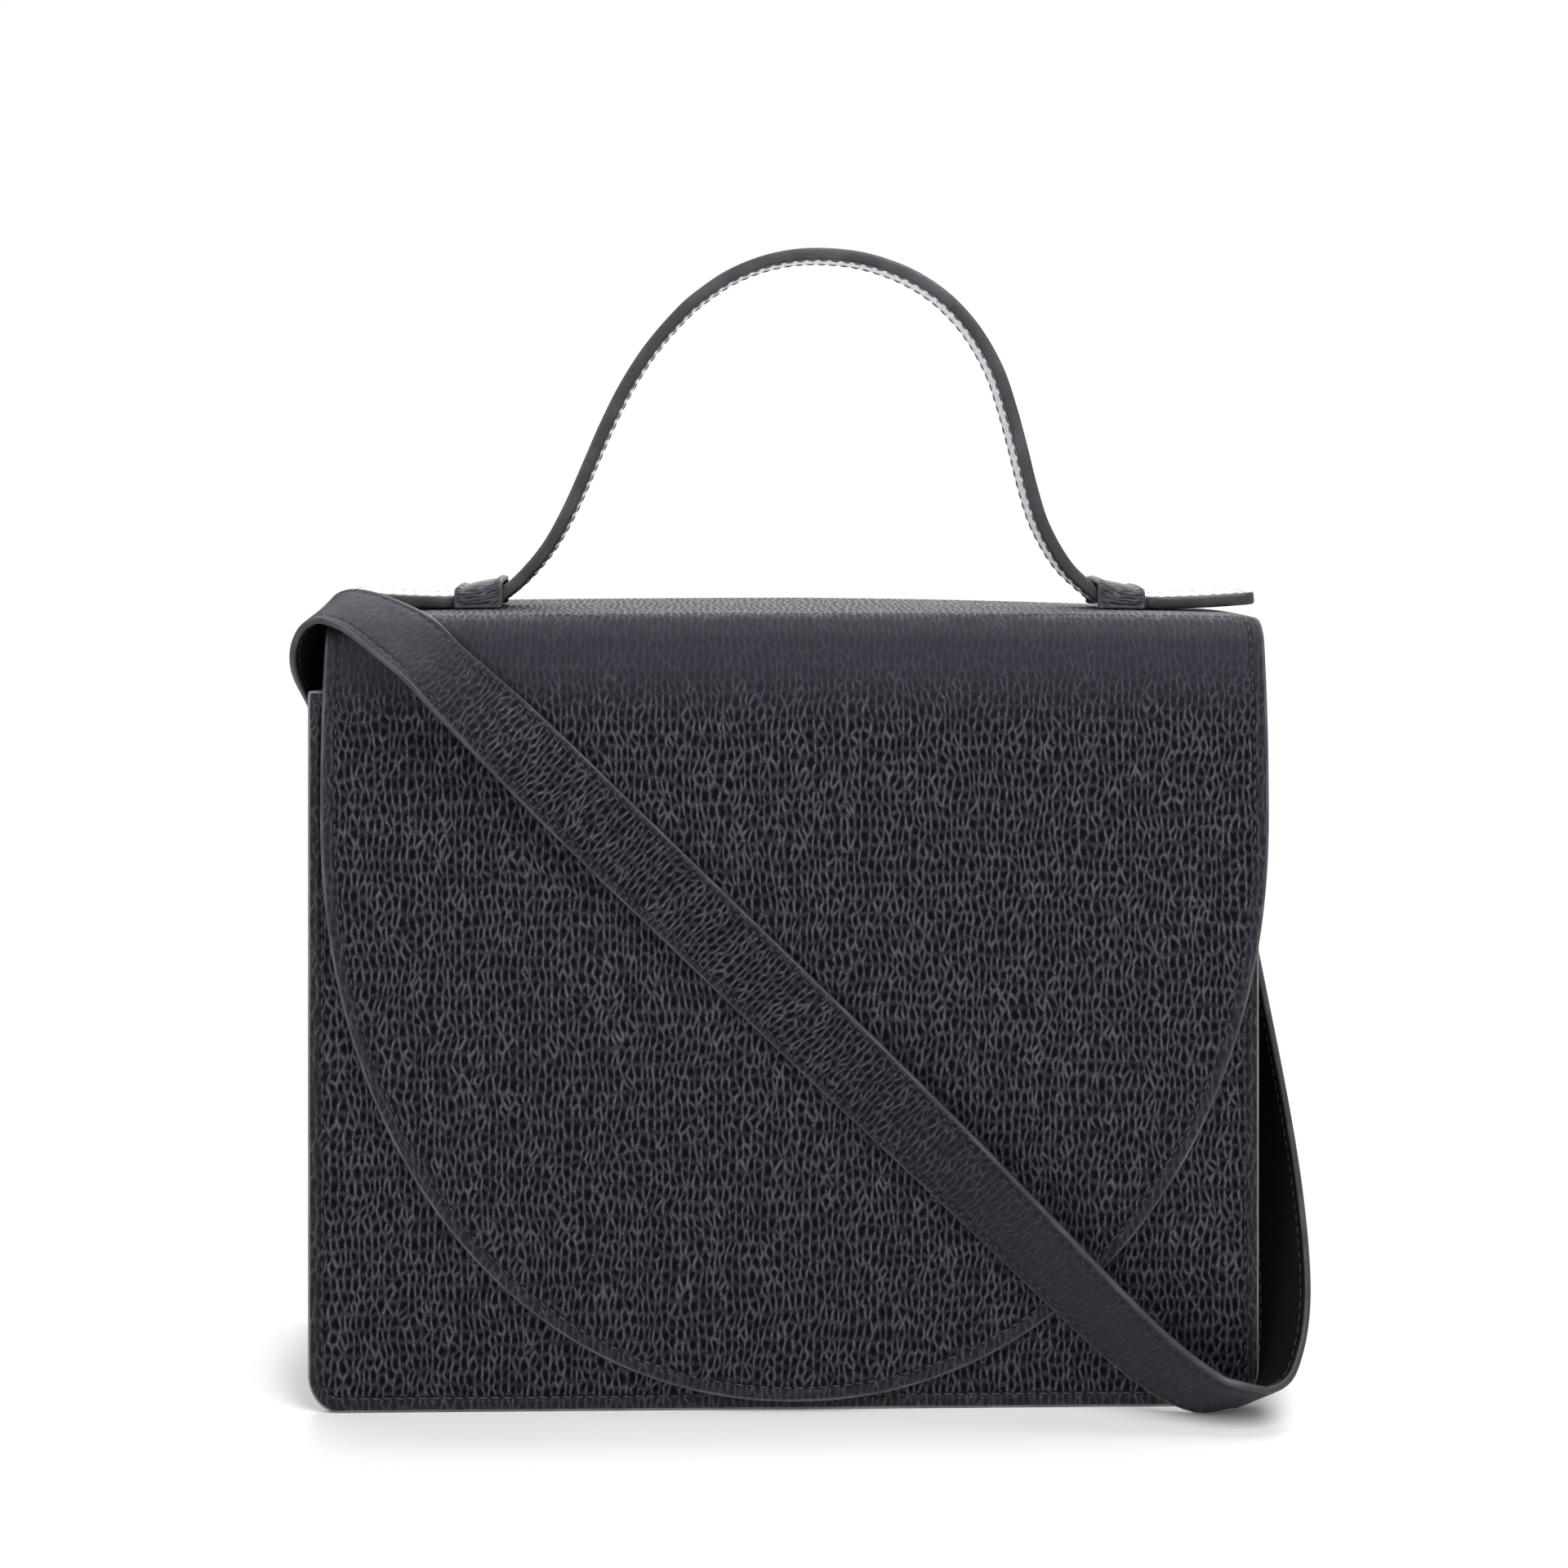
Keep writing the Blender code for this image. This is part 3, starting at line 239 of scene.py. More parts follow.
def new_group(name: str, inputs: Mapping[str, float | None], outputs: Sequence[str]
              ) -> tuple[Graph, Mapping[str, Socket]]:
    """Start a shader node group.

    Args:
        name: Its name.
        inputs: The default of each number it takes, and None for a place.
        outputs: The names of the numbers it gives.

    Returns:
        A graph on the group, and what its input node gives.
    """
    group = bpy.data.node_groups.new(name, "ShaderNodeTree")
    for label, value in inputs.items():
        kind = "NodeSocketVector" if value is None else "NodeSocketFloat"
        socket = group.interface.new_socket(label, in_out="INPUT", socket_type=kind)
        if value is not None:
            socket.default_value = value
    for label in outputs:
        group.interface.new_socket(label, in_out="OUTPUT", socket_type="NodeSocketFloat")
    graph = Graph(group)
    return graph, graph.add("NodeGroupInput").outputs


@cache
def pebble_group() -> bpy.types.NodeTree:
    """Pebbled grain: a net of raised creases round long cells, broken up and bent by noise.

    Returns:
        The node group.
    """
    graph, given = new_group(
        "pebble_grain", {"Place": None, "Cell Width": 2.7, "Cell Length": 5.4, "Warp": 1.6, "Crease Width": 0.34,
                         "Calm": 0.0}, ("Height", "Crease", "Rim"))
    place = moved = given["Place"]
    for scale, detail, reach in ((0.055, 1.0, 3.0), (0.30, 2.0, 0.7)):
        sway = graph.vector("SUBTRACT", graph.noise(place, scale, detail)["Color"], (0.5, 0.5, 0.5))
        moved = graph.vector("ADD", moved, graph.scaled(sway, graph.times(given["Warp"], reach)))
    size = graph.add("CombineXYZ", {0: given["Cell Width"], 1: given["Cell Length"], 2: given["Cell Width"]})
    cells_at = graph.vector("DIVIDE", moved, size.outputs[0])
    edge, near, far = [graph.add("TexVoronoi", {"Vector": cells_at, "Scale": 1.0, "Randomness": 0.74},
                                 feature=feature, voronoi_dimensions="2D").outputs
                       for feature in ("DISTANCE_TO_EDGE", "F1", "F2")]
    between = graph.vector("SUBTRACT", near["Position"], far["Position"])
    run = graph.vector("NORMALIZE", graph.vector("MULTIPLY", between, (2.0, 1.0, 1.0)))
    sideways = graph.math("ABSOLUTE", graph.add("SeparateXYZ", {0: run}).outputs[0])
    strength = graph.step(graph.noise(place, 0.30, 3.0, 0.70)[0], 0.32, 0.66, 0.25, 1.0)
    crest = graph.times(graph.step(edge["Distance"], 0.0, given["Crease Width"], 1.0, 0.0), strength)
    broken = graph.times(crest, graph.step(sideways, 0.45, 0.95, 0.30, 1.0))
    rim = graph.step(near["Distance"], 0.16, 0.50)
    loud = graph.math("SUBTRACT", 1.0, given["Calm"], clamp=True)
    fine = graph.noise(place, 2.4, 2.0, 0.6)[0]
    relief = graph.times(graph.math("ADD", graph.times(broken, 0.50), graph.times(rim, 0.45)), loud)
    crease = graph.times(graph.times(broken, loud), graph.step(fine, 0.34, 0.62, 0.55, 1.0))
    graph.add("NodeGroupOutput", {"Height": graph.math("ADD", relief, graph.times(fine, 0.10)), "Crease": crease,
                                  "Rim": rim})
    return graph.tree


@cache
def border_group() -> bpy.types.NodeTree:
    """What happens along a sewn border: a stitch furrow, a calm margin outside it and wear on the rim.

    Returns:
        The node group.
    """
    graph, given = new_group("sewn_border", {"Place": None, "Border": 20.0, "Furrow At": 4.6, "Furrow Width": 1.1},
                             ("Furrow", "Margin", "Wear"))
    place, border, seam = given["Place"], given["Border"], given["Furrow At"]
    wobble = graph.math("SUBTRACT", graph.noise(place, 0.5)[0], 0.5)
    ragged = graph.math("ADD", border, graph.times(wobble, 0.8))
    off = graph.math("ABSOLUTE", graph.math("SUBTRACT", ragged, seam))
    rubbed = graph.step(graph.noise(place, 0.22, 3.0, 0.65)[0], 0.42, 0.70)
    graph.add("NodeGroupOutput", {
        "Furrow": graph.step(off, 0.0, given["Furrow Width"], 1.0, 0.0),
        "Margin": graph.step(ragged, graph.times(seam, 0.55), graph.times(seam, 1.35), 1.0, 0.0),
        "Wear": graph.times(graph.step(border, 0.0, 2.2, 1.0, 0.0), rubbed)})
    return graph.tree


@cache
def mottle_group() -> bpy.types.NodeTree:
    """Broad uneven patches, as handling and dyeing leave on hide.

    Returns:
        The node group.
    """
    graph, given = new_group("hide_mottle", {"Place": None}, ("Mottle",))
    mottle = graph.noise(given["Place"], 0.12, 3.0, 0.6)[0]
    graph.add("NodeGroupOutput", {"Mottle": graph.step(mottle, 0.30, 0.70)})
    return graph.tree


def new_material(name: str) -> tuple[Material, Graph, Node]:
    """Make a material with its Principled shader.

    Args:
        name: The material's name.

    Returns:
        The material, a graph on its tree and its shader.
    """
    material = bpy.data.materials.new(name)
    material.use_nodes = True
    shader = material.node_tree.nodes["Principled BSDF"]
    shader.location = SHADER_AT
    material.node_tree.nodes["Material Output"].location = OUTPUT_AT
    return material, Graph(material.node_tree), shader


@dataclass(frozen=True)
class Finish:
    """A material; each kind of it says what its shader takes."""

    name: str

    def dress(self, graph: Graph) -> dict[str, object]:
        """The shader's inputs."""
        raise NotImplementedError(self.name)

    def make(self) -> Material:
        """Build the material.

        Returns:
            The material.
        """
        material, graph, shader = new_material(self.name)
        graph.feed(shader, self.dress(graph))
        return material


@dataclass(frozen=True)
class PebbledHide(Finish):
    """Aubergine black hide with long pebbles: its cells take dark colours as painted shade and its raised creases a
    pale colour as painted highlight.
    """

    name: str = "pebbled_hide"
    # The cell colours, darkest in the middle of each cell, are painted shade; the crest colour on the raised creases
    # is a painted highlight.
    hollow_shade: Colour = (0.0034, 0.0028, 0.0050)
    slope: Colour = (0.0085, 0.0073, 0.0125)
    crest: Colour = (0.0970, 0.0895, 0.1180)
    margin: Colour = (0.0252, 0.0222, 0.0330)
    cell_width: float = 2.15
    cell_length: float = 4.3
    warp: float = 1.5
    crease_width: float = 0.30
    relief: float = 0.00034
    furrow_at: float = 4.6
    furrow_depth: float = 0.00035
    roughness: float = 0.56
    crease_polish: float = -0.22
    mottle_rough: float = 0.06
    shine: float = 0.42
    hollow_shine: float = 0.03
    glare: float = 0.15
    glare_from: float = 0.86
    glare_over: float = 0.13
    glare_floor: float = 0.15
    coat: float = 0.0
    coat_roughness: float = 0.22
    margin_calm: float = 0.40
    mottle_share: float = 0.40
    furrow_share: float = 0.65
    wear_share: float = 0.50
    turned: bool = False

    def dress(self, graph: Graph) -> dict[str, object]:
        """Lay the grain on the piece's flat pattern, across it if turned.

        Args:
            graph: The material's graph.

        Returns:
            The shader's inputs.
        """
        place = graph.scaled(graph.add("UVMap", uv_map="pattern").outputs[0], TO_MM)
        if self.turned:
            place = graph.add("VectorRotate", {"Vector": place, "Angle": math.radians(90.0)},
                              rotation_type="Z_AXIS").outputs[0]
        border = graph.group(border_group, {"Place": place, "Furrow At": self.furrow_at,
                                            "Border": graph.times(graph.carried("border"), TO_MM)})
        calm = graph.math("MAXIMUM", graph.carried("calm"), graph.times(border["Margin"], self.margin_calm))
        grain = graph.group(pebble_group, {"Place": place, "Cell Width": self.cell_width, "Calm": calm,
                                           "Cell Length": self.cell_length, "Warp": self.warp,
                                           "Crease Width": self.crease_width})
        mottle = graph.group(mottle_group, {"Place": place})["Mottle"]
        # Painted shade and highlight: each cell runs from its darkest colour in the middle to the slope colour at its
        # sides, and the raised creases take the pale crest colour.
        ground = graph.mix(calm, graph.mix(grain["Rim"], self.hollow_shade, self.slope), self.margin)
        top = graph.mix(graph.times(mottle, self.mottle_share), self.crest, self.margin)
        colour = graph.mix(grain["Crease"], ground, top)
        # Painted shade: the stitch furrow is darkened toward the cells' darkest colour.
        colour = graph.mix(graph.times(border["Furrow"], self.furrow_share), colour, self.hollow_shade)
        colour = graph.mix(graph.times(border["Wear"], self.wear_share), colour, self.crest)
        # Painted reflection: toward grazing angles the base colour turns to the pale GLARE colour, most on the
        # pebbles' rims.
        facing = graph.step(graph.add("LayerWeight").outputs["Facing"], self.glare_from,
                            self.glare_from + self.glare_over)
        glare_on_rims = graph.times_plus(grain["Rim"], 1.0 - self.glare_floor, self.glare_floor)
        rough = graph.times_plus(grain["Crease"], self.crease_polish, self.roughness)
        lit = graph.math("MAXIMUM", grain["Crease"], graph.times(calm, 0.5))
        low = graph.bump(graph.math("SUBTRACT", 1.0, border["Furrow"]), self.furrow_depth, 0.6)
        return {"Base Color": graph.mix(graph.times(graph.times(facing, self.glare), glare_on_rims), colour, GLARE),
                "Roughness": graph.times_plus(mottle, self.mottle_rough, rough),
                "Specular IOR Level": graph.times_plus(lit, self.shine - self.hollow_shine, self.hollow_shine),
                "Coat Weight": self.coat, "Coat Roughness": self.coat_roughness,
                "Normal": graph.bump(grain["Height"], self.relief, 1.0, low)}


@dataclass(frozen=True)
class PaintedEdge(Finish):
    """Cut edge of the leather, sanded and painted in several coats."""

    name: str = "painted_edge"
    body: Colour = (0.0330, 0.0312, 0.0370)
    worn: Colour = (0.0820, 0.0790, 0.0830)
    roughness: float = 0.33
    relief: float = 0.00012

    def dress(self, graph: Graph) -> dict[str, object]:
        """Streak the paint and wear it in patches.

        Args:
            graph: The material's graph.

        Returns:
            The shader's inputs.
        """
        place = graph.in_space()
        streak = graph.noise(place, 0.9, 3.0, 0.6)[0]
        patch = graph.step(graph.noise(place, 0.08)[0], 0.40, 0.66)
        colour = graph.mix(graph.times(patch, 0.75), self.body, self.worn)
        return {"Base Color": graph.mix(graph.step(streak, 0.50, 0.80, 0.0, 0.35), colour, self.worn),
                "Roughness": graph.times_plus(streak, 0.18, self.roughness), "Specular IOR Level": 0.40,
                "Normal": graph.bump(streak, self.relief, 0.8)}


@dataclass(frozen=True)
class Suede(Finish):
    """Napped lining leather."""

    name: str = "suede_nap"
    dark: Colour = (0.036, 0.031, 0.040)
    pale: Colour = (0.078, 0.069, 0.084)
    relief: float = 0.00018

    def dress(self, graph: Graph) -> dict[str, object]:
        """Brush the nap in broad strokes.

        Args:
            graph: The material's graph.

        Returns:
            The shader's inputs.
        """
        place = graph.in_space()
        nap = graph.noise(place, 2.6, 4.0, 0.7)[0]
        brushed = graph.step(graph.noise(place, 0.06, 3.0, 0.6)[0], 0.34, 0.68)
        share = graph.math("ADD", graph.times(nap, 0.45), graph.times(brushed, 0.55))
        return {"Base Color": graph.mix(share, self.dark, self.pale), "Specular IOR Level": 0.15,
                "Roughness": graph.times_plus(nap, 0.14, 0.82), "Sheen Weight": 0.25, "Sheen Roughness": 0.45,
                "Normal": graph.bump(nap, self.relief, 0.9)}


@dataclass(frozen=True)
class Thread(Finish):
    """Waxed thread of the stitching, two plies laid together."""

    name: str = "waxed_thread"
    body: Colour = (0.0150, 0.0135, 0.0185)
    lit: Colour = (0.0400, 0.0370, 0.0470)
    relief: float = 0.00010

    def dress(self, graph: Graph) -> dict[str, object]:
        """Lay the plies as slanting bands, frayed here and there.

        Args:
            graph: The material's graph.

        Returns:
            The shader's inputs.
        """
        place = graph.in_space()
        plies = graph.add("TexWave", {"Vector": place, "Scale": 0.55, "Distortion": 0.6}, wave_type="BANDS",
                          bands_direction="DIAGONAL").outputs["Fac"]
        fray = graph.noise(place, 0.35, 2.0, 0.6)[0]
        share = graph.times(plies, graph.step(fray, 0.32, 0.66, 0.25, 1.0))
        return {"Base Color": graph.mix(share, self.body, self.lit),
                "Roughness": graph.times_plus(fray, 0.2, 0.45), "Normal": graph.bump(plies, self.relief, 0.8)}


@dataclass(frozen=True)
class FibreBoard(Finish):
    """Bonded leather board of the stiffeners, flecked."""

    name: str = "bonded_board"
    dark: Colour = (0.130, 0.078, 0.045)
    pale: Colour = (0.300, 0.200, 0.125)
    relief: float = 0.00015

    def dress(self, graph: Graph) -> dict[str, object]:
        """Fleck the board.

        Args:
            graph: The material's graph.

        Returns:
            The shader's inputs.
        """
        fleck = graph.noise(graph.in_space(), 1.3, 5.0, 0.75)[0]
        share = graph.step(fleck, 0.35, 0.65)
        return {"Base Color": graph.mix(share, self.dark, self.pale),
                "Roughness": graph.times_plus(share, 0.10, 0.75), "Normal": graph.bump(fleck, self.relief, 0.6)}


@dataclass(frozen=True)
class DarkMetal(Finish):
    """Brushed dark nickel of the rivets and magnets."""

    name: str = "dark_nickel"
    body: Colour = (0.125, 0.120, 0.115)
    rubbed: Colour = (0.300, 0.285, 0.265)
    relief: float = 0.00004

    def dress(self, graph: Graph) -> dict[str, object]:
        """Brush the metal upright and scuff it.

        Args:
            graph: The material's graph.

        Returns:
            The shader's inputs.
        """
        place = graph.in_space()
        brushed = graph.noise(graph.vector("DIVIDE", place, (0.3, 0.3, 3.0)), 1.0, 3.0, 0.6)[0]
        scuff = graph.step(graph.noise(place, 0.7, 3.0, 0.6)[0], 0.50, 0.72, 0.0, 0.7)
        return {"Base Color": graph.mix(scuff, self.body, self.rubbed), "Metallic": 1.0,
                "Roughness": graph.times_plus(brushed, 0.25, 0.18),
                "Normal": graph.bump(brushed, self.relief, 0.6)}


def made(finish: Finish) -> Material:
    """A field that holds a finish's material."""
    return field(default_factory=finish.make)


@dataclass
class Finishes:
    """All materials of the bag, each made once."""

    hide: Material = made(PebbledHide())
    panel: Material = made(PebbledHide(
        "panel_hide", (0.0030, 0.0025, 0.0042), (0.0088, 0.0077, 0.0120), (0.097, 0.091, 0.114),
        (0.0160, 0.0143, 0.0205), shine=0.52, roughness=0.50))
    strap: Material = made(PebbledHide(
        "strap_hide", (0.0036, 0.0030, 0.0054), (0.0095, 0.0083, 0.0135), (0.082, 0.078, 0.098),
        (0.0160, 0.0140, 0.0222), 2.0, 3.9, 1.5, relief=0.00024, furrow_at=2.6, turned=True))
    # The handle's hide carries the strongest painted reflection at grazing angles (glare 1.0).
    handle: Material = made(PebbledHide(
        "handle_hide", (0.0080, 0.0070, 0.0110), (0.0210, 0.0190, 0.0270), (0.110, 0.105, 0.125), cell_width=1.5,
        cell_length=2.6, warp=0.9, relief=0.00018, furrow_at=2.6, glare=1.0, glare_from=0.77, glare_floor=0.50,
        coat=0.60))
    keeper: Material = made(PebbledHide(
        "keeper_hide", (0.0240, 0.0220, 0.0300), (0.0420, 0.0395, 0.0500), (0.170, 0.165, 0.185),
        (0.0560, 0.0530, 0.0640), 1.1, 6.5, 1.2, relief=0.00020, furrow_at=1.4, hollow_shine=0.20))
    # Darker copy of the strap hide on the strap's back, as painted shade for the side that faces the bag.
    strap_back_shade: Material = made(PebbledHide(
        "strap_back_shade", (0.0022, 0.0019, 0.0028), (0.0036, 0.0031, 0.0044), (0.0170, 0.0155, 0.0200),
        (0.0060, 0.0052, 0.0072), 1.5, 2.4, 0.8, relief=0.00014, furrow_at=2.6, shine=0.22, roughness=0.66))
    edge: Material = made(PaintedEdge())
    panel_edge: Material = made(PaintedEdge("panel_painted_edge", (0.1150, 0.1160, 0.1080),
                                            (0.1800, 0.1810, 0.1650)))
    strap_edge: Material = made(PaintedEdge("strap_painted_edge", (0.0215, 0.0202, 0.0250),
                                            (0.0520, 0.0490, 0.0570)))
    suede: Material = made(Suede())
    thread: Material = made(Thread())
    # Darker copy of the thread for the stitches on the strap's back, as painted shade.
    shaded_back_thread: Material = made(Thread("shaded_back_thread", (0.0050, 0.0045, 0.0062), (0.0120, 0.0110, 0.0145)))
    board: Material = made(FibreBoard())
    metal: Material = made(DarkMetal())


# Mesh building

STITCH_PLACES = np.array((0.0, 0.10, 0.35, 0.65, 0.90, 1.0))
STITCH_SWELL = np.array((0.20, 0.72, 1.0, 1.0, 0.72, 0.20))
STITCH_LIFT = np.array((-1.3, -0.5, -0.15, -0.15, -0.5, -1.3))
STITCH_WIDE, STITCH_HIGH = 1.15, 0.85
NEAREST = 1e-6
FINE_THREAD = 0.00024
STRAP_THREAD = 0.00026
FURROW_WIDTH = 0.8 * MM
LINE_CHUNK = 2000
Seam = tuple[np.ndarray, np.ndarray]


def distance_to_line(points: np.ndarray, line: np.ndarray) -> np.ndarray:
    """How far points are from a closed line.

    Args:
        points: Points, one a row.
        line: The line's corners, one a row.

    Returns:
        The distance of each point.
    """
    span = np.roll(line, -1, axis=0) - line
    length = np.maximum((span ** 2).sum(1), 1e-18)
    best = np.full(len(points), np.inf)
    for first in range(0, len(points), LINE_CHUNK):
        chunk = points[first:first + LINE_CHUNK]
        offset = chunk[:, None, :] - line[None]
        share = np.clip((offset * span[None]).sum(2) / length, 0.0, 1.0)
        gap = offset - share[..., None] * span[None]
        best[first:first + LINE_CHUNK] = np.sqrt((gap ** 2).sum(2)).min(1)
    return best


def unit(vectors: np.ndarray) -> np.ndarray:
    """Vectors brought to length one."""
    return vectors / np.maximum(np.linalg.norm(vectors, axis=-1, keepdims=True), 1e-12)


def smooth(value: np.ndarray | float, low: float, high: float) -> np.ndarray:
    """A smooth step from 0 at low to 1 at high."""
    share = np.clip((np.asarray(value, float) - low) / (high - low), 0.0, 1.0)
    return share * share * (3.0 - 2.0 * share)


@dataclass
class Leaf:
    """A closed leaf of leather: face, rounded edge all round and back."""

    name: str
    grid: np.ndarray
    outward: tuple[float, float, float]
    thickness: float
    materials: Sequence[Material]
    corner: float = 0.0004
    depth: Callable[[np.ndarray, np.ndarray], np.ndarray] | None = None
    relief: Callable[[np.ndarray, np.ndarray], np.ndarray] | None = None
    calm: Callable[[np.ndarray], np.ndarray] | None = None
    faces: np.ndarray = field(init=False)
    normals: np.ndarray = field(init=False)
    border: np.ndarray = field(init=False)
    rim: tuple[np.ndarray, ...] = field(init=False)
    outside: np.ndarray = field(init=False)

    def __post_init__(self) -> None:
        """Work out the leaf's directions and its distances from the edge."""
        rows, columns = self.grid.shape[:2]
        normals = unit(np.cross(np.gradient(self.grid, axis=1), np.gradient(self.grid, axis=0)))
        if normals[rows // 2, columns // 2] @ np.array(self.outward) < 0:
            normals = -normals
        self.normals = normals
        loop = [(0, j) for j in range(columns)] + [(i, columns - 1) for i in range(1, rows)]
        loop += [(rows - 1, j) for j in range(columns - 2, -1, -1)] + [(i, 0) for i in range(rows - 2, 0, -1)]
        self.rim = at = tuple(np.array(loop).T)
        edge = self.grid[at]
        outside = unit(np.cross(np.roll(edge, -1, axis=0) - np.roll(edge, 1, axis=0), normals[at]))
        inner = self.grid[np.clip(at[0], 1, rows - 2), np.clip(at[1], 1, columns - 2)]
        outside[((edge - inner) * outside).sum(1) < 0] *= -1
        self.outside = outside
        distance = distance_to_line(self.grid.reshape(-1, 3), edge)
        self.border = distance.reshape(rows, columns) + self.corner
        raised = self.relief(self.border, self.grid) if self.relief else np.zeros((rows, columns))
        self.faces = self.grid + normals * raised[..., None]

    def pattern(self) -> np.ndarray:
        """The leaf laid flat: distance across and along, in metres.

        Returns:
            Two numbers for each grid point.
        """
        middle = self.grid.shape[1] // 2
        along = np.linalg.norm(np.diff(self.grid[:, middle], axis=0), axis=1)
        along = np.concatenate([[0.0], np.cumsum(along)])
        across = np.linalg.norm(np.diff(self.grid, axis=1), axis=2)
        across = np.concatenate([np.zeros((len(across), 1)), np.cumsum(across, axis=1)], axis=1)
        across = across - across[:, middle:middle + 1]
        return np.stack([across, np.repeat(along[:, None], self.grid.shape[1], axis=1)], axis=2)

    def build(self) -> Piece:
        """Make the object.

        Returns:
            The finished piece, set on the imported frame.
        """
        rows, columns = self.grid.shape[:2]
        depth = np.full((rows, columns), self.thickness)
        if self.depth:
            depth = self.depth(self.border, self.grid)
        inner = self.grid - self.normals * depth[..., None]
        top, bottom, normal = self.faces[self.rim], inner[self.rim], self.normals[self.rim]
        room = np.linalg.norm(top - bottom, axis=1) / 2
        corner = np.minimum(self.corner, room * 0.98)[:, None]
        rings = []
        for side, way, angles in ((top, -normal, (30.0, 60.0, 90.0)), (bottom, normal, (90.0, 60.0, 30.0))):
            for turn in map(math.radians, angles):
                rings.append(side + way * corner * (1 - math.cos(turn)) + self.outside * corner * math.sin(turn))
        flat = rows * columns
        outer = self.rim[0] * columns + self.rim[1]
        count = len(outer)
        points = np.concatenate([self.faces.reshape(-1, 3), inner.reshape(-1, 3)] + rings)
        faces, kinds = [], []
        for i in range(rows - 1):
            for a in range(i * columns, i * columns + columns - 1):
                faces.append((a, a + 1, a + columns + 1, a + columns))
                faces.append((a + flat, a + columns + flat, a + columns + 1 + flat, a + 1 + flat))
                kinds += [0, 2]
        chain = [outer] + [2 * flat + ring * count + np.arange(count) for ring in range(len(rings))] + [outer + flat]
        for first, second in zip(chain, chain[1:]):
            sides = np.stack([first, second, np.roll(second, -1), np.roll(first, -1)], axis=1)
            faces += sides.tolist()
            kinds += [1] * count

        def carry(values: np.ndarray, edge: np.ndarray) -> np.ndarray:
            """Values of the face, its back and its edge's rings."""
            return np.concatenate([values, values] + [edge] * len(rings))

        pattern = self.pattern().reshape(-1, 2)
        calm = self.calm(self.grid).reshape(-1) if self.calm else np.zeros(flat)
        numbers = {"border": carry(self.border.ravel(), np.zeros(count)), "calm": carry(calm, calm[outer])}
        return solid(self.name, points, faces, kinds, self.materials, numbers, carry(pattern, pattern[outer]))

    def seam(self, inset: float) -> Seam:
        """A line all round the face, at a distance in from its painted edge.

        Args:
            inset: The distance.

        Returns:
            The line's points and the surface's directions there.
        """
        line = self.faces[self.rim] - self.outside * (inset - self.corner)
        normal = np.empty_like(line)
        flat, facing = self.faces.reshape(-1, 3), self.normals.reshape(-1, 3)
        for number, point in enumerate(line):
            near = int(((flat - point) ** 2).sum(1).argmin())
            line[number] = point - facing[near] * ((point - flat[near]) @ facing[near])
            normal[number] = facing[near]
        return np.concatenate([line, line[:1]]), np.concatenate([normal, normal[:1]])


def new_object(name: str, data: bpy.types.ID) -> Piece:
    """Put an object in the scene.

    Args:
        name: Its name.
        data: Its mesh, lamp or camera.

    Returns:
        The object.
    """
    made_object = bpy.data.objects.new(name, data)
    bpy.context.scene.collection.objects.link(made_object)
    return made_object


@contextmanager
def edited(mesh: bpy.types.Mesh) -> Iterator[bmesh.types.BMesh]:
    """Open a mesh for changes, and turn its faces outward at the end.

    Args:
        mesh: The mesh.

    Yields:
        The mesh to change.
    """
    work = bmesh.new()
    work.from_mesh(mesh)
    yield work
    bmesh.ops.recalc_face_normals(work, faces=work.faces[:])
    work.to_mesh(mesh)
    work.free()


def solid(name: str, points: np.ndarray, faces: Sequence[Sequence[int]], kinds: Sequence[int],
          materials: Sequence[Material], numbers: dict[str, np.ndarray] | None = None,
          pattern: np.ndarray | None = None) -> Piece:
    """Make an object from points and faces, smooth and facing out.

    Args:
        name: The piece's name.
        points: The points in the bag's frame.
        faces: The faces' point numbers.
        kinds: The material number of each face.
        materials: The materials.
        numbers: Numbers that the points carry, by name.
        pattern: The flat pattern's place of each point.

    Returns:
        The object.
    """
    mesh = bpy.data.meshes.new(name)
    mesh.from_pydata((points + np.array(ORIGIN)).tolist(), [], [list(face) for face in faces])
    for material in materials:
        mesh.materials.append(material)
    last = len(materials) - 1
    mesh.polygons.foreach_set("material_index", [min(kind, last) for kind in kinds])
    for label, values in (numbers or {}).items():
        mesh.attributes.new(label, "FLOAT", "POINT").data.foreach_set("value", values.astype(np.float32))
    if pattern is not None:
        corners = np.empty(len(mesh.loops), np.int32)
        mesh.loops.foreach_get("vertex_index", corners)
        layer = mesh.uv_layers.new(name="pattern")
        layer.uv.foreach_set("vector", pattern[corners].astype(np.float32).ravel())
    with edited(mesh):
        pass
    mesh.shade_smooth()
    return new_object(name, mesh)


def tube_faces(first: int, rings: int, steps: int) -> list[tuple[int, ...]]:
    """The faces of a tube with closed ends, its rings of points one after another.

    Args:
        first: Its first point's number.
        rings: The number of rings.
        steps: The number of points in a ring.

    Returns:
        The faces' point numbers.
    """
    last = first + (rings - 1) * steps
    faces: list[tuple[int, ...]] = []
    for a in range(first, last, steps):
        for step in range(steps):
            following = (step + 1) % steps
            faces.append((a + step, a + following, a + steps + following, a + steps + step))
    return faces + [tuple(range(first, first + steps)), tuple(range(last, last + steps))]


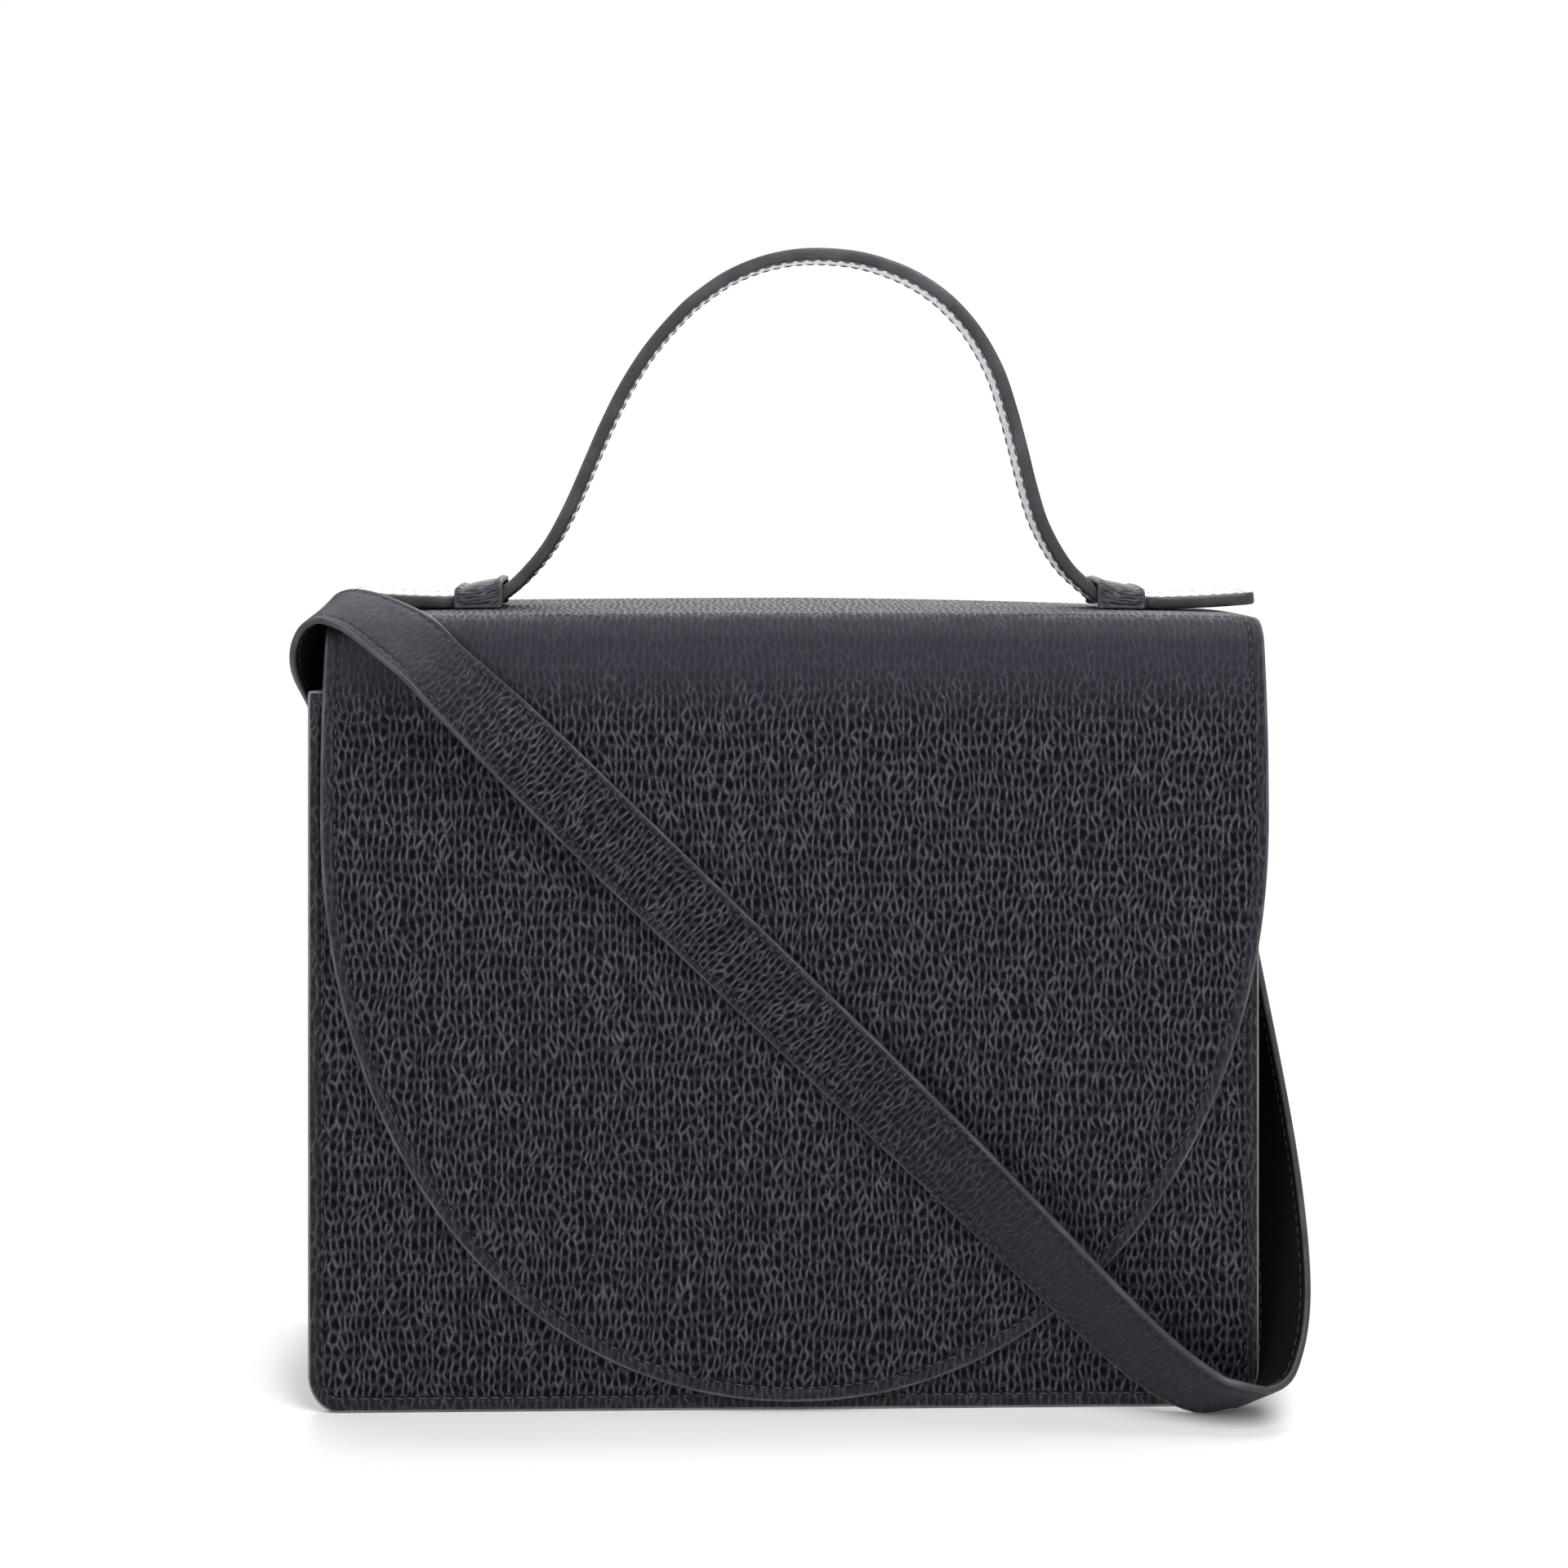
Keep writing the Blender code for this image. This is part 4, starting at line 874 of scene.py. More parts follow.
def cut_off(piece: Piece, place: Vector, along: Vector, name: str) -> Piece:
    """Take the faces beyond a plane off a piece and make a second piece of them.

    Args:
        piece: The piece, which keeps the faces before the plane.
        place: A point of the plane.
        along: The plane's normal, towards the faces that go.
        name: The second piece's name.

    Returns:
        The second piece.
    """
    other = new_object(name, piece.data.copy())
    other.data.name = name
    for half, sign in ((piece, 1.0), (other, -1.0)):
        with edited(half.data) as work:
            gone = [face for face in work.faces if sign * (face.calc_center_median() - place).dot(along) > 0.0]
            bmesh.ops.delete(work, geom=gone, context="FACES")
            rim = [edge for edge in work.edges if edge.is_boundary]
            for edge in rim:
                edge.smooth = False
            bmesh.ops.holes_fill(work, edges=rim)
    return other


def finished(piece: Piece, nodes: Sequence[str], words: str) -> None:
    """Hide the solids that a piece stands for and log how it moves.

    Args:
        piece: The piece.
        nodes: The solids that it replaces.
        words: How it moves, for the log.
    """
    if nodes:
        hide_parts(*nodes)
    LOG.info("%s %s", piece.name, words)


def ride(piece: Piece, part: Part, slot: Slot, *nodes: str) -> None:
    """Set a piece on the body that carries it, and hide the solids that it replaces."""
    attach(piece, part.value)
    finished(piece, nodes, "rides on " + part.value)


def bend(piece: Piece, after: Part, ends: Sequence[Place], slot: Slot, *nodes: str, before: Part = Part.BAG
         ) -> None:
    """Bake a piece's place into its mesh and hide the solids that it replaces; its bend between two bodies is only
    logged.

    Args:
        piece: The piece.
        after: The body that carries it after the bend.
        ends: Not used.
        slot: Not used.
        nodes: The solids that it replaces.
        before: The body that carries it before the bend.
    """
    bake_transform(piece)
    finished(piece, nodes, f"bends from {before.value} to {after.value}")


@dataclass
class Stitching:
    """Saddle stitches laid along lines on the leather."""

    name: str
    thread: Material
    radius: float = 0.00030
    pitch: float = 0.00375
    length_share: float = 0.80
    sides: int = 6
    points: list[np.ndarray] = field(default_factory=list)
    faces: list[tuple[int, ...]] = field(default_factory=list)

    def run(self, line: np.ndarray, normal: np.ndarray) -> None:
        """Sew along a line.

        Args:
            line: The line's points.
            normal: The surface's directions there.
        """
        keep = np.concatenate([[True], np.linalg.norm(np.diff(line, axis=0), axis=1) > NEAREST])
        line, normal = line[keep], normal[keep]
        at = np.concatenate([[0.0], np.cumsum(np.linalg.norm(np.diff(line, axis=0), axis=1))])
        count = max(1, round(at[-1] / self.pitch))
        pitch = at[-1] / count
        for number in range(count):
            start = (number + (1.0 - self.length_share) / 2) * pitch
            places = start + STITCH_PLACES * pitch * self.length_share
            spine, up = (np.stack([np.interp(places, at, values[:, axis]) for axis in range(3)], axis=1)
                         for values in (line, normal))
            self.stitch(spine, unit(up))

    def stitch(self, spine: np.ndarray, up: np.ndarray) -> None:
        """Add one stitch, its ends sunk in their holes.

        Args:
            spine: Points along it.
            up: The surface's directions there.
        """
        swell = STITCH_SWELL * self.radius
        lift = STITCH_LIFT * self.radius
        side = unit(np.cross(unit(np.gradient(spine, axis=0)), up))
        slant = np.linspace(-0.5, 0.5, len(spine)) * self.radius
        self.faces += tube_faces(len(self.points) * len(spine) * self.sides, len(spine), self.sides)
        rings = []
        for n in range(len(spine)):
            centre = spine[n] + up[n] * lift[n] + side[n] * slant[n]
            for step in range(self.sides):
                turn = math.tau * step / self.sides
                rings.append(centre + side[n] * math.cos(turn) * swell[n] * STITCH_WIDE
                             + up[n] * math.sin(turn) * swell[n] * STITCH_HIGH)
        self.points.append(np.array(rings))

    def sewn(self, *seams: Seam) -> Piece:
        """Sew along lines.

        Args:
            seams: Each line's points and the surface's directions there.

        Returns:
            All stitches as one piece.
        """
        for seam in seams:
            self.run(*seam)
        return solid(self.name, np.concatenate(self.points), self.faces, [0] * len(self.faces), [self.thread])


def sewn_relief(furrow_at: float, furrow: float, drop: float) -> Callable[[np.ndarray, np.ndarray], np.ndarray]:
    """How a sewn leaf's face rises and falls: a furrow at the seam and a border that drops off.

    Args:
        furrow_at: The seam's distance from the edge.
        furrow: The furrow's depth.
        drop: How far the border falls at its rim.

    Returns:
        A function of edge distance and place.
    """
    def height(border: np.ndarray, _: np.ndarray) -> np.ndarray:
        """The face's height at a distance from the edge."""
        sunk = furrow * np.exp(-((border - furrow_at) / FURROW_WIDTH) ** 2)
        return -sunk - drop * (1.0 - smooth(border, 0.0, furrow_at * 0.9))
    return height


def spread(left: float, right: float, fine: Sequence[float], count: int) -> np.ndarray:
    """Places across a leaf, close together near its two edges.

    Args:
        left: The left edge.
        right: The right edge.
        fine: Distances from the edge that get a column.
        count: Columns between the two fine bands.

    Returns:
        The places from left to right.
    """
    half = (right - left) / 2
    insets = np.array(fine) * min(1.0, half / (1.9 * max(fine)))
    inner = np.linspace(left + insets[-1], right - insets[-1], count + 2)[1:-1]
    return np.concatenate([left + insets, inner, (right - insets)[::-1]])


FINE = tuple(value * MM for value in (0.0, 0.9, 1.9, 2.9, 3.8, 4.6, 5.4, 6.4, 8.0, 10.5, 14.0))


def arc_points(centre: tuple[float, float], radius: float, start: float, end: float, steps: int
               ) -> list[tuple[float, float]]:
    """Points of an arc.

    Args:
        centre: The arc's centre.
        radius: Its radius.
        start: Its first angle in degrees.
        end: Its last angle in degrees.
        steps: The number of steps.

    Returns:
        The points in order.
    """
    turns = [math.radians(start + (end - start) * step / steps) for step in range(steps + 1)]
    return [(centre[0] + radius * math.cos(turn), centre[1] + radius * math.sin(turn)) for turn in turns]


def rounded(half: float, bottom: float, radius: float) -> Callable[[float], float]:
    """Half the width of a leaf with round lower corners.

    Args:
        half: Half its width above them.
        bottom: Its lowest height.
        radius: The corners' radius.

    Returns:
        A function of height.
    """
    def half_at(z: float) -> float:
        """Half the width at a height."""
        inside = max(0.0, bottom + radius - z)
        return half + math.sqrt(max(radius ** 2 - inside ** 2, 0.0)) - radius
    return half_at


@dataclass
class Shell:
    """Sizes that the body and the flap share."""

    body_width: float = 0.3000
    body_depth: float = BODY_DEPTH
    top: float = 0.2505
    front_height: float = 0.2268
    rear_mouth: float = 0.2390
    bottom_corner: float = 0.0116
    panel: float = 0.0018
    gusset: float = 0.0014
    seam: float = 0.0065
    gap: float = 0.0003
    board: float = 0.0010
    lining: float = 0.0006
    flap_shift: float = 0.0034
    flap_width: float = 0.2976
    flap_top_width: float = 0.2938
    flap_widest: float = 0.1870
    flap_tip: float = 0.0038
    flap_power: float = 2.08
    end_droop: float = 0.0012
    corner_sag: float = 0.0032
    fade: float = 0.0350
    rear_bend: float = 0.0090
    front_bend: float = 0.0080
    flap_front: float = 0.0486

    @property
    def half_width(self) -> float:
        """Half the body's width."""
        return self.body_width / 2

    @property
    def half_depth(self) -> float:
        """Half the body's depth."""
        return self.body_depth / 2

    @property
    def hinge(self) -> float:
        """Height of the line that the flap turns on."""
        return self.top - self.rear_bend

    @property
    def lining_inside(self) -> float:
        """Distance of the linings' inner faces from the middle."""
        return self.half_depth - self.panel - self.gap - self.board - self.gap - self.lining

    def body_half(self, z: float, inset: float = 0.0) -> float:
        """Half the panels' width at a height, with their round lower corners."""
        return rounded(self.half_width, 0.0, self.bottom_corner)(z) - inset

    def flap_half(self, z: float, inset: float = 0.0) -> float:
        """Half the flap's width at a height on its front.

        Args:
            z: The height.
            inset: How far the line runs inside the outline.

        Returns:
            Half the width there.
        """
        widest = self.flap_width / 2 - inset
        if z >= self.flap_widest:
            rise = (z - self.flap_widest) / (self.top - self.flap_widest)
            return widest - (self.flap_width - self.flap_top_width) / 2 * rise ** 2
        fall = min(1.0, (self.flap_widest - z) / (self.flap_widest - self.flap_tip - inset))
        return widest * (1.0 - fall ** self.flap_power) ** (1.0 / self.flap_power)

    def drop(self, share: float, y: float) -> float:
        """How far the flap's top hangs down at a share of its half width and a depth."""
        rear = min(1.0, max(0.0, (y + self.half_depth) / self.body_depth))
        return self.end_droop * share ** 2 + self.corner_sag * max(0.0, share) ** 1.5 * rear ** 1.6

    def flap_top_at(self, x: float, y: float) -> float:
        """Height of the flap's top at a place."""
        return self.top - self.drop(2.0 * (x - self.flap_shift) / self.flap_top_width, y)

    def mouth(self, y: float, drop: float = 0.0) -> float:
        """Height of the gusset's slanting mouth edge at a depth."""
        share = (y + self.half_depth) / self.body_depth
        return self.front_height + (self.rear_mouth - self.front_height) * share - drop


@dataclass
class Body:
    """Front panel, gusset, linings, facings, pocket and base of the bag."""

    shell: Shell
    finishes: Finishes
    stitch_inset: float = 0.0046
    flange_bend: float = 0.0020
    facing_height: float = 0.0300
    facing_seam: float = 2.2 * MM
    facing_thickness: float = 1.0 * MM
    facing_corner: float = 0.45 * MM
    mouth_gap: float = 1.2 * MM
    gusset_gap: float = 0.6 * MM
    suede_corner: float = 0.25 * MM
    board_thickness: float = 2.0 * MM
    board_corner: float = 0.9 * MM
    pocket_wall: float = 1.0 * MM
    pocket_wall_corner: float = 0.4 * MM
    pocket_width: float = 0.1700
    pocket_bottom: float = 0.0600
    pocket_height: float = 0.1150
    pocket_depth: float = 0.0075
    pocket_corner: float = 0.0100

    def build(self) -> None:
        """Make and dress every piece of the body."""
        self.front_panel()
        self.gusset()
        self.linings()
        self.facings()
        self.base_board()
        self.pocket()
        self.hidden_solids()

    def upright(self, name: str, y: float, bottom: float, top: float, half_of: Callable[[float], float],
                outward: float, thickness: float, materials: Sequence[Material], corner: float,
                fine: Sequence[float] = FINE, count: int = 34, rows: int = 44,
                relief: Callable[[np.ndarray, np.ndarray], np.ndarray] | None = None) -> Leaf:
        """A leaf that stands in the plane of the panels.

        Args:
            name: Its name.
            y: Depth of its outer face.
            bottom: Its lowest height.
            top: Its highest height.
            half_of: Half its width at a height.
            outward: Which way along Y its face looks.
            thickness: Its thickness.
            materials: Face, edge and back.
            corner: Its edge's rounding.
            fine: Distances from the edge that get their own column.
            count: Columns in between.
            rows: Rows in between.
            relief: Its face's rise and fall.

        Returns:
            The leaf.
        """
        heights = spread(bottom + corner, top - corner, fine, rows)
        radius = self.shell.bottom_corner
        extra = bottom + corner + radius * (1.0 - np.cos(np.radians(np.linspace(8.0, 82.0, 9))))
        heights = np.unique(np.round(np.concatenate([heights, extra]), 6))
        grid = np.array([[(x, y, z) for x in spread(-half_of(z) + corner, half_of(z) - corner, fine, count)]
                         for z in heights])
        return Leaf(name, grid, (0.0, outward, 0.0), thickness, materials, corner, relief=relief)

    def front_panel(self) -> None:
        """The front wall, its seam and its painted edge."""
        shell = self.shell
        corner = shell.panel * 0.49
        leaf = self.upright(
            "front_panel_hide", -shell.half_depth, 0.0, shell.front_height, shell.body_half, -1.0, shell.panel,
            (self.finishes.panel, self.finishes.panel_edge, self.finishes.suede), corner,
            relief=sewn_relief(self.stitch_inset, 0.00035, 0.00030))
        ride(leaf.build(), Part.BAG, Slot.HIDE, "front_panel")
        stitches = Stitching("front_panel_stitching", self.finishes.thread).sewn(leaf.seam(self.stitch_inset))
        ride(stitches, Part.BAG, Slot.STRAP)

    def strip(self, name: str, section: Sequence[tuple[float, float]], drop: float, thickness: float,
              materials: Sequence[Material], corner: float) -> Leaf:
        """A leaf that runs down one side, along the base and up the other, its face down at the base.

        Args:
            name: Its name.
            section: Distance in from the panels' edge and depth of each point across it.
            drop: How far its ends stay below the mouth line.
            thickness: Its thickness.
            materials: Face, edge and back.
            corner: Its edge's rounding.

        Returns:
            The leaf.
        """
        radius, half = self.shell.bottom_corner, self.shell.half_width
        flat = half - radius
        shares = np.linspace(0.0, 1.0, 34)[1:]
        base = arc_points((-flat, radius), radius, 180.0, 270.0, 12)
        base += [(float(x), 0.0) for x in np.linspace(-flat, flat, 40)[1:-1]]
        base += arc_points((flat, radius), radius, 270.0, 360.0, 12)

        def upright_row(side: float, share: float) -> list[Place]:
            """A row of a side, at a share of its height."""
            return [(side * half - side * inset, y,
                     radius + (self.shell.mouth(y, drop) - corner - radius) * share) for inset, y in section]

        rows = [upright_row(-1.0, share) for share in np.linspace(1.0, 0.0, 34)[:-1]]
        for x, z in base:
            away = np.array((x - max(-flat, min(flat, x)), z - radius))
            away = away / np.linalg.norm(away)
            rows.append([(x - away[0] * inset, y, z - away[1] * inset) for inset, y in section])
        rows += [upright_row(1.0, share) for share in shares]
        return Leaf(name, np.array(rows), (0.0, 0.0, -1.0), thickness, materials, corner)

    def gusset(self) -> None:
        """Sides and base in one strip, its borders turned out behind the panels, and its lining."""
        shell = self.shell
        reach = shell.half_depth - shell.panel - shell.gap
        flange = reach - shell.gusset
        web = shell.seam - shell.gusset
        turn = self.flange_bend
        corner = shell.gusset * 0.45
        left = [(corner, -flange), (web - turn - 0.8 * MM, -flange)]
        left += [(x, y) for x, y in arc_points((web - turn, -flange + turn), turn, 270.0, 360.0, 5)]
        middle = [(web, float(y)) for y in np.linspace(-flange + turn, flange - turn, 22)[1:-1]]
        section = left + middle + [(inset, -y) for inset, y in reversed(left)]
        leaf = self.strip("gusset_hide", section, self.gusset_gap, shell.gusset,
                          (self.finishes.panel, self.finishes.edge, self.finishes.suede), corner)
        ride(leaf.build(), Part.BAG, Slot.HIDE, "gusset")
        outer = shell.seam + shell.gap
        reach = shell.lining_inside - shell.gap - self.suede_corner
        section = [(outer, float(y)) for y in np.linspace(-reach, reach, 20)]
        lining = self.strip("gusset_suede", section, self.mouth_gap, shell.lining, (self.finishes.suede,),
                            self.suede_corner)
        ride(lining.build(), Part.BAG, Slot.SUEDE, "gusset_lining")

    def linings(self) -> None:
        """Suede on the front and back walls."""
        shell = self.shell
        edge = shell.half_width - shell.seam - shell.gap
        bottom = shell.seam + shell.gap
        half = rounded(edge, bottom, shell.bottom_corner - bottom)

        outer = shell.lining_inside + shell.lining
        for name, node, side, top in (("front_suede", "front_lining", -1.0, shell.front_height - self.mouth_gap),
                                      ("back_suede", "back_lining", 1.0, shell.rear_mouth - self.mouth_gap)):
            leaf = self.upright(name, side * outer, bottom, top, half, side, shell.lining, (self.finishes.suede,),
                                self.suede_corner, fine=(0.0, 3.0 * MM, 8.0 * MM), count=20, rows=18)
            ride(leaf.build(), Part.BAG, Slot.SUEDE, node)

    def facings(self) -> None:
        """Bands of leather that finish the mouth, each sewn along its lower edge."""
        shell = self.shell
        half = shell.half_width - shell.seam - 2 * shell.gap - shell.lining
        face = shell.lining_inside - shell.gap - self.facing_thickness
        for name, node, side, top in (("front_mouth_band", "front_facing", -1.0, shell.front_height - self.mouth_gap),
                                      ("back_mouth_band", "back_facing", 1.0, shell.rear_mouth - self.mouth_gap)):
            leaf = self.upright(name, side * face, top - self.facing_height, top, lambda z: half, -side,
                                self.facing_thickness,
                                (self.finishes.handle, self.finishes.edge, self.finishes.suede),
                                self.facing_corner, fine=tuple(v * MM for v in (0.0, 1.2, 2.2, 3.2, 6.0)),
                                count=26, rows=5)
            ride(leaf.build(), Part.BAG, Slot.STRAP, node)
            stitches = Stitching(name + "_stitching", self.finishes.thread, FINE_THREAD)
            ride(stitches.sewn(leaf.seam(self.facing_seam)), Part.BAG, Slot.STRAP)

    def base_board(self) -> None:
        """Covered board on the floor of the bag."""
        shell = self.shell
        half = shell.half_width - shell.bottom_corner
        reach = shell.lining_inside - shell.gap
        bottom = shell.seam + 2 * shell.gap + shell.lining
        top = bottom + self.board_thickness
        corner = self.board_corner
        xs = spread(-half + corner, half - corner, (0.0, 2.0 * MM, 6.0 * MM), 24)
        ys = spread(-reach + corner, reach - corner, (0.0, 2.0 * MM, 6.0 * MM), 10)
        grid = np.array([[(x, y, top) for x in xs] for y in ys])
        leaf = Leaf("base_board_cover", grid, (0.0, 0.0, 1.0), self.board_thickness, (self.finishes.suede,), corner)
        ride(leaf.build(), Part.BAG, Slot.BOARD, "base_board")

    def pocket(self) -> None:
        """Slip pocket on the back lining: its sides and base curve back to their seam."""
        shell = self.shell
        seat = shell.lining_inside - shell.gap
        wall, corner = self.pocket_wall, self.pocket_wall_corner
        half = self.pocket_width / 2
        bottom = self.pocket_bottom
        top = bottom + self.pocket_height
        leaf = self.upright("pocket_suede", seat - self.pocket_depth, bottom, top,
                            rounded(half, bottom, self.pocket_corner), -1.0, wall,
                            (self.finishes.suede,), corner, fine=tuple(v * MM for v in (0, 1, 2, 3.2, 5, 8)),
                            count=22, rows=16)
        grid = leaf.grid
        side = np.minimum(half - np.abs(grid[..., 0]), grid[..., 2] - bottom)
        back = (self.pocket_depth - wall) * (1.0 - smooth(side, 0.0, 6.0 * MM))
        grid[..., 1] += back
        leaf = Leaf(leaf.name, grid, (0.0, -1.0, 0.0), wall, leaf.materials, corner)
        ride(leaf.build(), Part.BAG, Slot.SUEDE, "slip_pocket")

    def hidden_solids(self) -> None:
        """Finishes of the boards and magnets inside the leather."""
        for names, material in ((("front_stiffener", "back_stiffener", "top_board", "flap_board"),
                                 self.finishes.board), (("front_magnet", "flap_magnet"), self.finishes.metal)):
            for name in names:
                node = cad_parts[name]
                node.data.materials.clear()
                node.data.materials.append(material)
                LOG.info("%s keeps its solid", name)


@dataclass
class Flap:
    """The hide that runs up the back, over the top and down the front, and its suede."""

    shell: Shell
    finishes: Finishes
    stitch_inset: float = 0.0046
    rim_thickness: float = 0.00262
    hide_thickness: float = 0.0012
    suede_face: float = 0.0033
    suede_thickness: float = 0.0006
    border_width: float = 0.0066
    curve_rows: int = 74
    rim_fade: float = 1.2 * MM
    rim_corner: float = 1.05 * MM
    hide_inset: float = 0.9 * MM
    suede_inset: float = 0.5 * MM
    suede_corner: float = 0.28 * MM
    stretched: float = 0.70
    stretch_from: float = 0.0380
    stretch_to: float = 0.0100
    crease: tuple[Place, Place] = ((0.0, 0.0432, 0.0), (0.0, 0.0370, 0.0))

    def rows(self, with_back: bool, inset: float = 0.0
             ) -> list[tuple[float, float, float, float, float, float, float]]:
        """Rows of the outer face, from the foot of the back or the hinge line to the point of the flap.

        Args:
            with_back: Whether the back panel's rows come first.
            inset: How far the rows' ends stay inside the outline.

        Returns:
            For each row its depth, height, outward Y and Z, middle, half width and droop share.
        """
        shell = self.shell
        rows = []
        if with_back:
            radius = shell.bottom_corner
            rounds = radius * (1.0 - np.cos(np.radians(np.linspace(0.0, 90.0, 12))))
            heights = [inset] + [z for z in rounds if z > 1.3 * inset]
            heights += list(np.linspace(radius, shell.front_height, 46)[1:])
            for z in heights:
                rows.append((shell.half_depth, float(z), 1.0, 0.0, 0.0, shell.body_half(float(z), inset), 0.0))
            for share in (0.35, 0.7):
                z = shell.front_height + (shell.hinge - shell.front_height) * share
                half = shell.half_width + (shell.flap_top_width / 2 - shell.half_width) * share - inset
                rows.append((shell.half_depth, z, 1.0, 0.0, shell.flap_shift * share, half, 0.0))
        top_half = shell.flap_top_width / 2 - inset
        for angle in np.radians(np.linspace(0.0, 90.0, 9)):
            y = shell.half_depth - shell.rear_bend + shell.rear_bend * math.cos(angle)
            z = shell.hinge + shell.rear_bend * math.sin(angle)
            rows.append((y, z, math.cos(angle), math.sin(angle), shell.flap_shift, top_half, math.sin(angle)))
        back = shell.half_depth - shell.rear_bend
        front = -shell.flap_front + shell.front_bend
        for y in np.linspace(back, front, 18)[1:-1]:
            rows.append((float(y), shell.top, 0.0, 1.0, shell.flap_shift, top_half, 1.0))
        for angle in np.radians(np.linspace(0.0, 90.0, 9)):
            y = front - shell.front_bend * math.sin(angle)
            z = shell.top - shell.front_bend + shell.front_bend * math.cos(angle)
            half = shell.flap_half(z, inset)
            rows.append((y, z, -math.sin(angle), math.cos(angle), shell.flap_shift, half, 1.0))
        start = shell.top - shell.front_bend
        heights = list(np.linspace(start, shell.flap_widest, 14)[1:])
        reach = shell.flap_widest - shell.flap_tip - inset
        for angle in np.radians(np.linspace(0.0, 89.0, self.curve_rows)[1:]):
            heights.append(shell.flap_widest - reach * math.sin(angle) ** (2.0 / shell.flap_power))
        for z in heights:
            droop = min(1.0, max(0.0, 1.0 - (start - z) / shell.fade))
            half = shell.flap_half(float(z), inset)
            rows.append((-shell.flap_front, float(z), -1.0, 0.0, shell.flap_shift, half, droop))
        return rows

    def grid(self, with_back: bool, depth: float, inset: float) -> np.ndarray:
        """Points of a face of the flap at a depth under the outer face.

        Args:
            with_back: Whether the back panel is part of it.
            depth: How far under the outer face it lies.
            inset: How far its edge stays inside the outline.

        Returns:
            The grid of points.
        """
        shell = self.shell
        grid = []
        for y, z, out_y, out_z, middle, half, droop in self.rows(with_back, inset):
            line = []
            for x in spread(middle - half, middle + half, FINE, 36):
                reach = 2.0 * (x - shell.flap_shift) / shell.flap_top_width
                at_y = y - out_y * depth
                line.append((x, at_y, z - out_z * depth - droop * shell.drop(reach, at_y)))
            grid.append(line)
        return np.array(grid)

    def build(self) -> None:
        """Make and dress the hide, its seams and the suede."""
        shell = self.shell
        back_rows = sum(1 for row in self.rows(True) if row[2] == 1.0 and row[1] < shell.hinge)

        def depth(border: np.ndarray, at: np.ndarray) -> np.ndarray:
            """The hide's thickness: the panel's on the back, and a thicker rim round a thin flap.

            Args:
                border: The distance from the edge.
                at: The grid of points.

            Returns:
                The thickness at each point.
            """
            rim = 1.0 - smooth(border, self.border_width, self.border_width + self.rim_fade)
            flap = self.hide_thickness + (self.rim_thickness - self.hide_thickness) * rim
            out = np.repeat(np.arange(at.shape[0])[:, None], at.shape[1], axis=1)
            return shell.panel + (flap - shell.panel) * smooth(out, back_rows - 1, back_rows + 5)

        def calm(at: np.ndarray) -> np.ndarray:
            """How far the grain is stretched smooth under the front's top edge."""
            front = smooth(-at[..., 1], shell.flap_front - 1.3 * shell.front_bend, shell.flap_front - 0.4 * MM)
            near_top = smooth(at[..., 2], shell.top - self.stretch_from, shell.top - self.stretch_to)
            return self.stretched * near_top * front

        leaf = Leaf("back_and_flap_hide", self.grid(True, 0.0, self.hide_inset), (0.0, -1.0, 0.0), shell.panel,
                    (self.finishes.hide, self.finishes.edge, self.finishes.suede), self.rim_corner, depth,
                    sewn_relief(self.stitch_inset, 0.00035, 0.00045), calm)
        bend(leaf.build(), Part.FLAP, self.crease, Slot.HIDE, "back_panel", "flap_leather")
        stitches = Stitching("flap_stitching", self.finishes.thread).sewn(leaf.seam(self.stitch_inset))
        bend(stitches, Part.FLAP, self.crease, Slot.STRAP)
        lining = Leaf("flap_suede", self.grid(False, self.suede_face - self.suede_thickness, self.suede_inset),
                      (0.0, -1.0, 0.0), self.suede_thickness, (self.finishes.suede,), self.suede_corner)
        bend(lining.build(), Part.FLAP, self.crease, Slot.SUEDE, "flap_lining")


def hermite_line(keys: Sequence[Sequence[float]], steps: int) -> np.ndarray:
    """A smooth line through keys of any dimension, its speed set by the first three values.

    Args:
        keys: The keys.
        steps: Points for each stretch between keys.

    Returns:
        The line, one point a row.
    """
    keys = np.array(keys, float)
    gaps = np.maximum(np.linalg.norm(np.diff(keys[:, :3], axis=0), axis=1), 1e-9)
    slopes = []
    for number in range(len(keys)):
        before, after = max(number - 1, 0), min(number + 1, len(keys) - 1)
        slopes.append((keys[after] - keys[before]) / gaps[before:after].sum())
    line = []
    for number, gap in enumerate(gaps):
        for step in range(steps):
            t = step / steps
            line.append((2 * t ** 3 - 3 * t ** 2 + 1) * keys[number]
                        + (t ** 3 - 2 * t ** 2 + t) * gap * slopes[number]
                        + (3 * t ** 2 - 2 * t ** 3) * keys[number + 1]
                        + (t ** 3 - t ** 2) * gap * slopes[number + 1])
    line.append(keys[-1])
    return np.array(line)


def eased(line: np.ndarray, passes: int) -> np.ndarray:
    """A line with its small kinks evened out, its ends kept.

    Args:
        line: The line's points.
        passes: How often each point is drawn to its neighbours.

    Returns:
        The evened line.
    """
    line = line.copy()
    for _ in range(passes):
        line[1:-1] += 0.5 * ((line[:-2] + line[2:]) / 2 - line[1:-1])
    return line


BAND_FURROW = 0.00018
BAND_SEAM = 2.6 * MM
BAND_SEAM_ENDS = 4.0 * MM
BAND_SHARES = (-1.0, -0.90, -0.80, -0.72, -0.62, -0.45, -0.22, 0.0, 0.22, 0.45, 0.62, 0.72, 0.80, 0.90, 1.0)


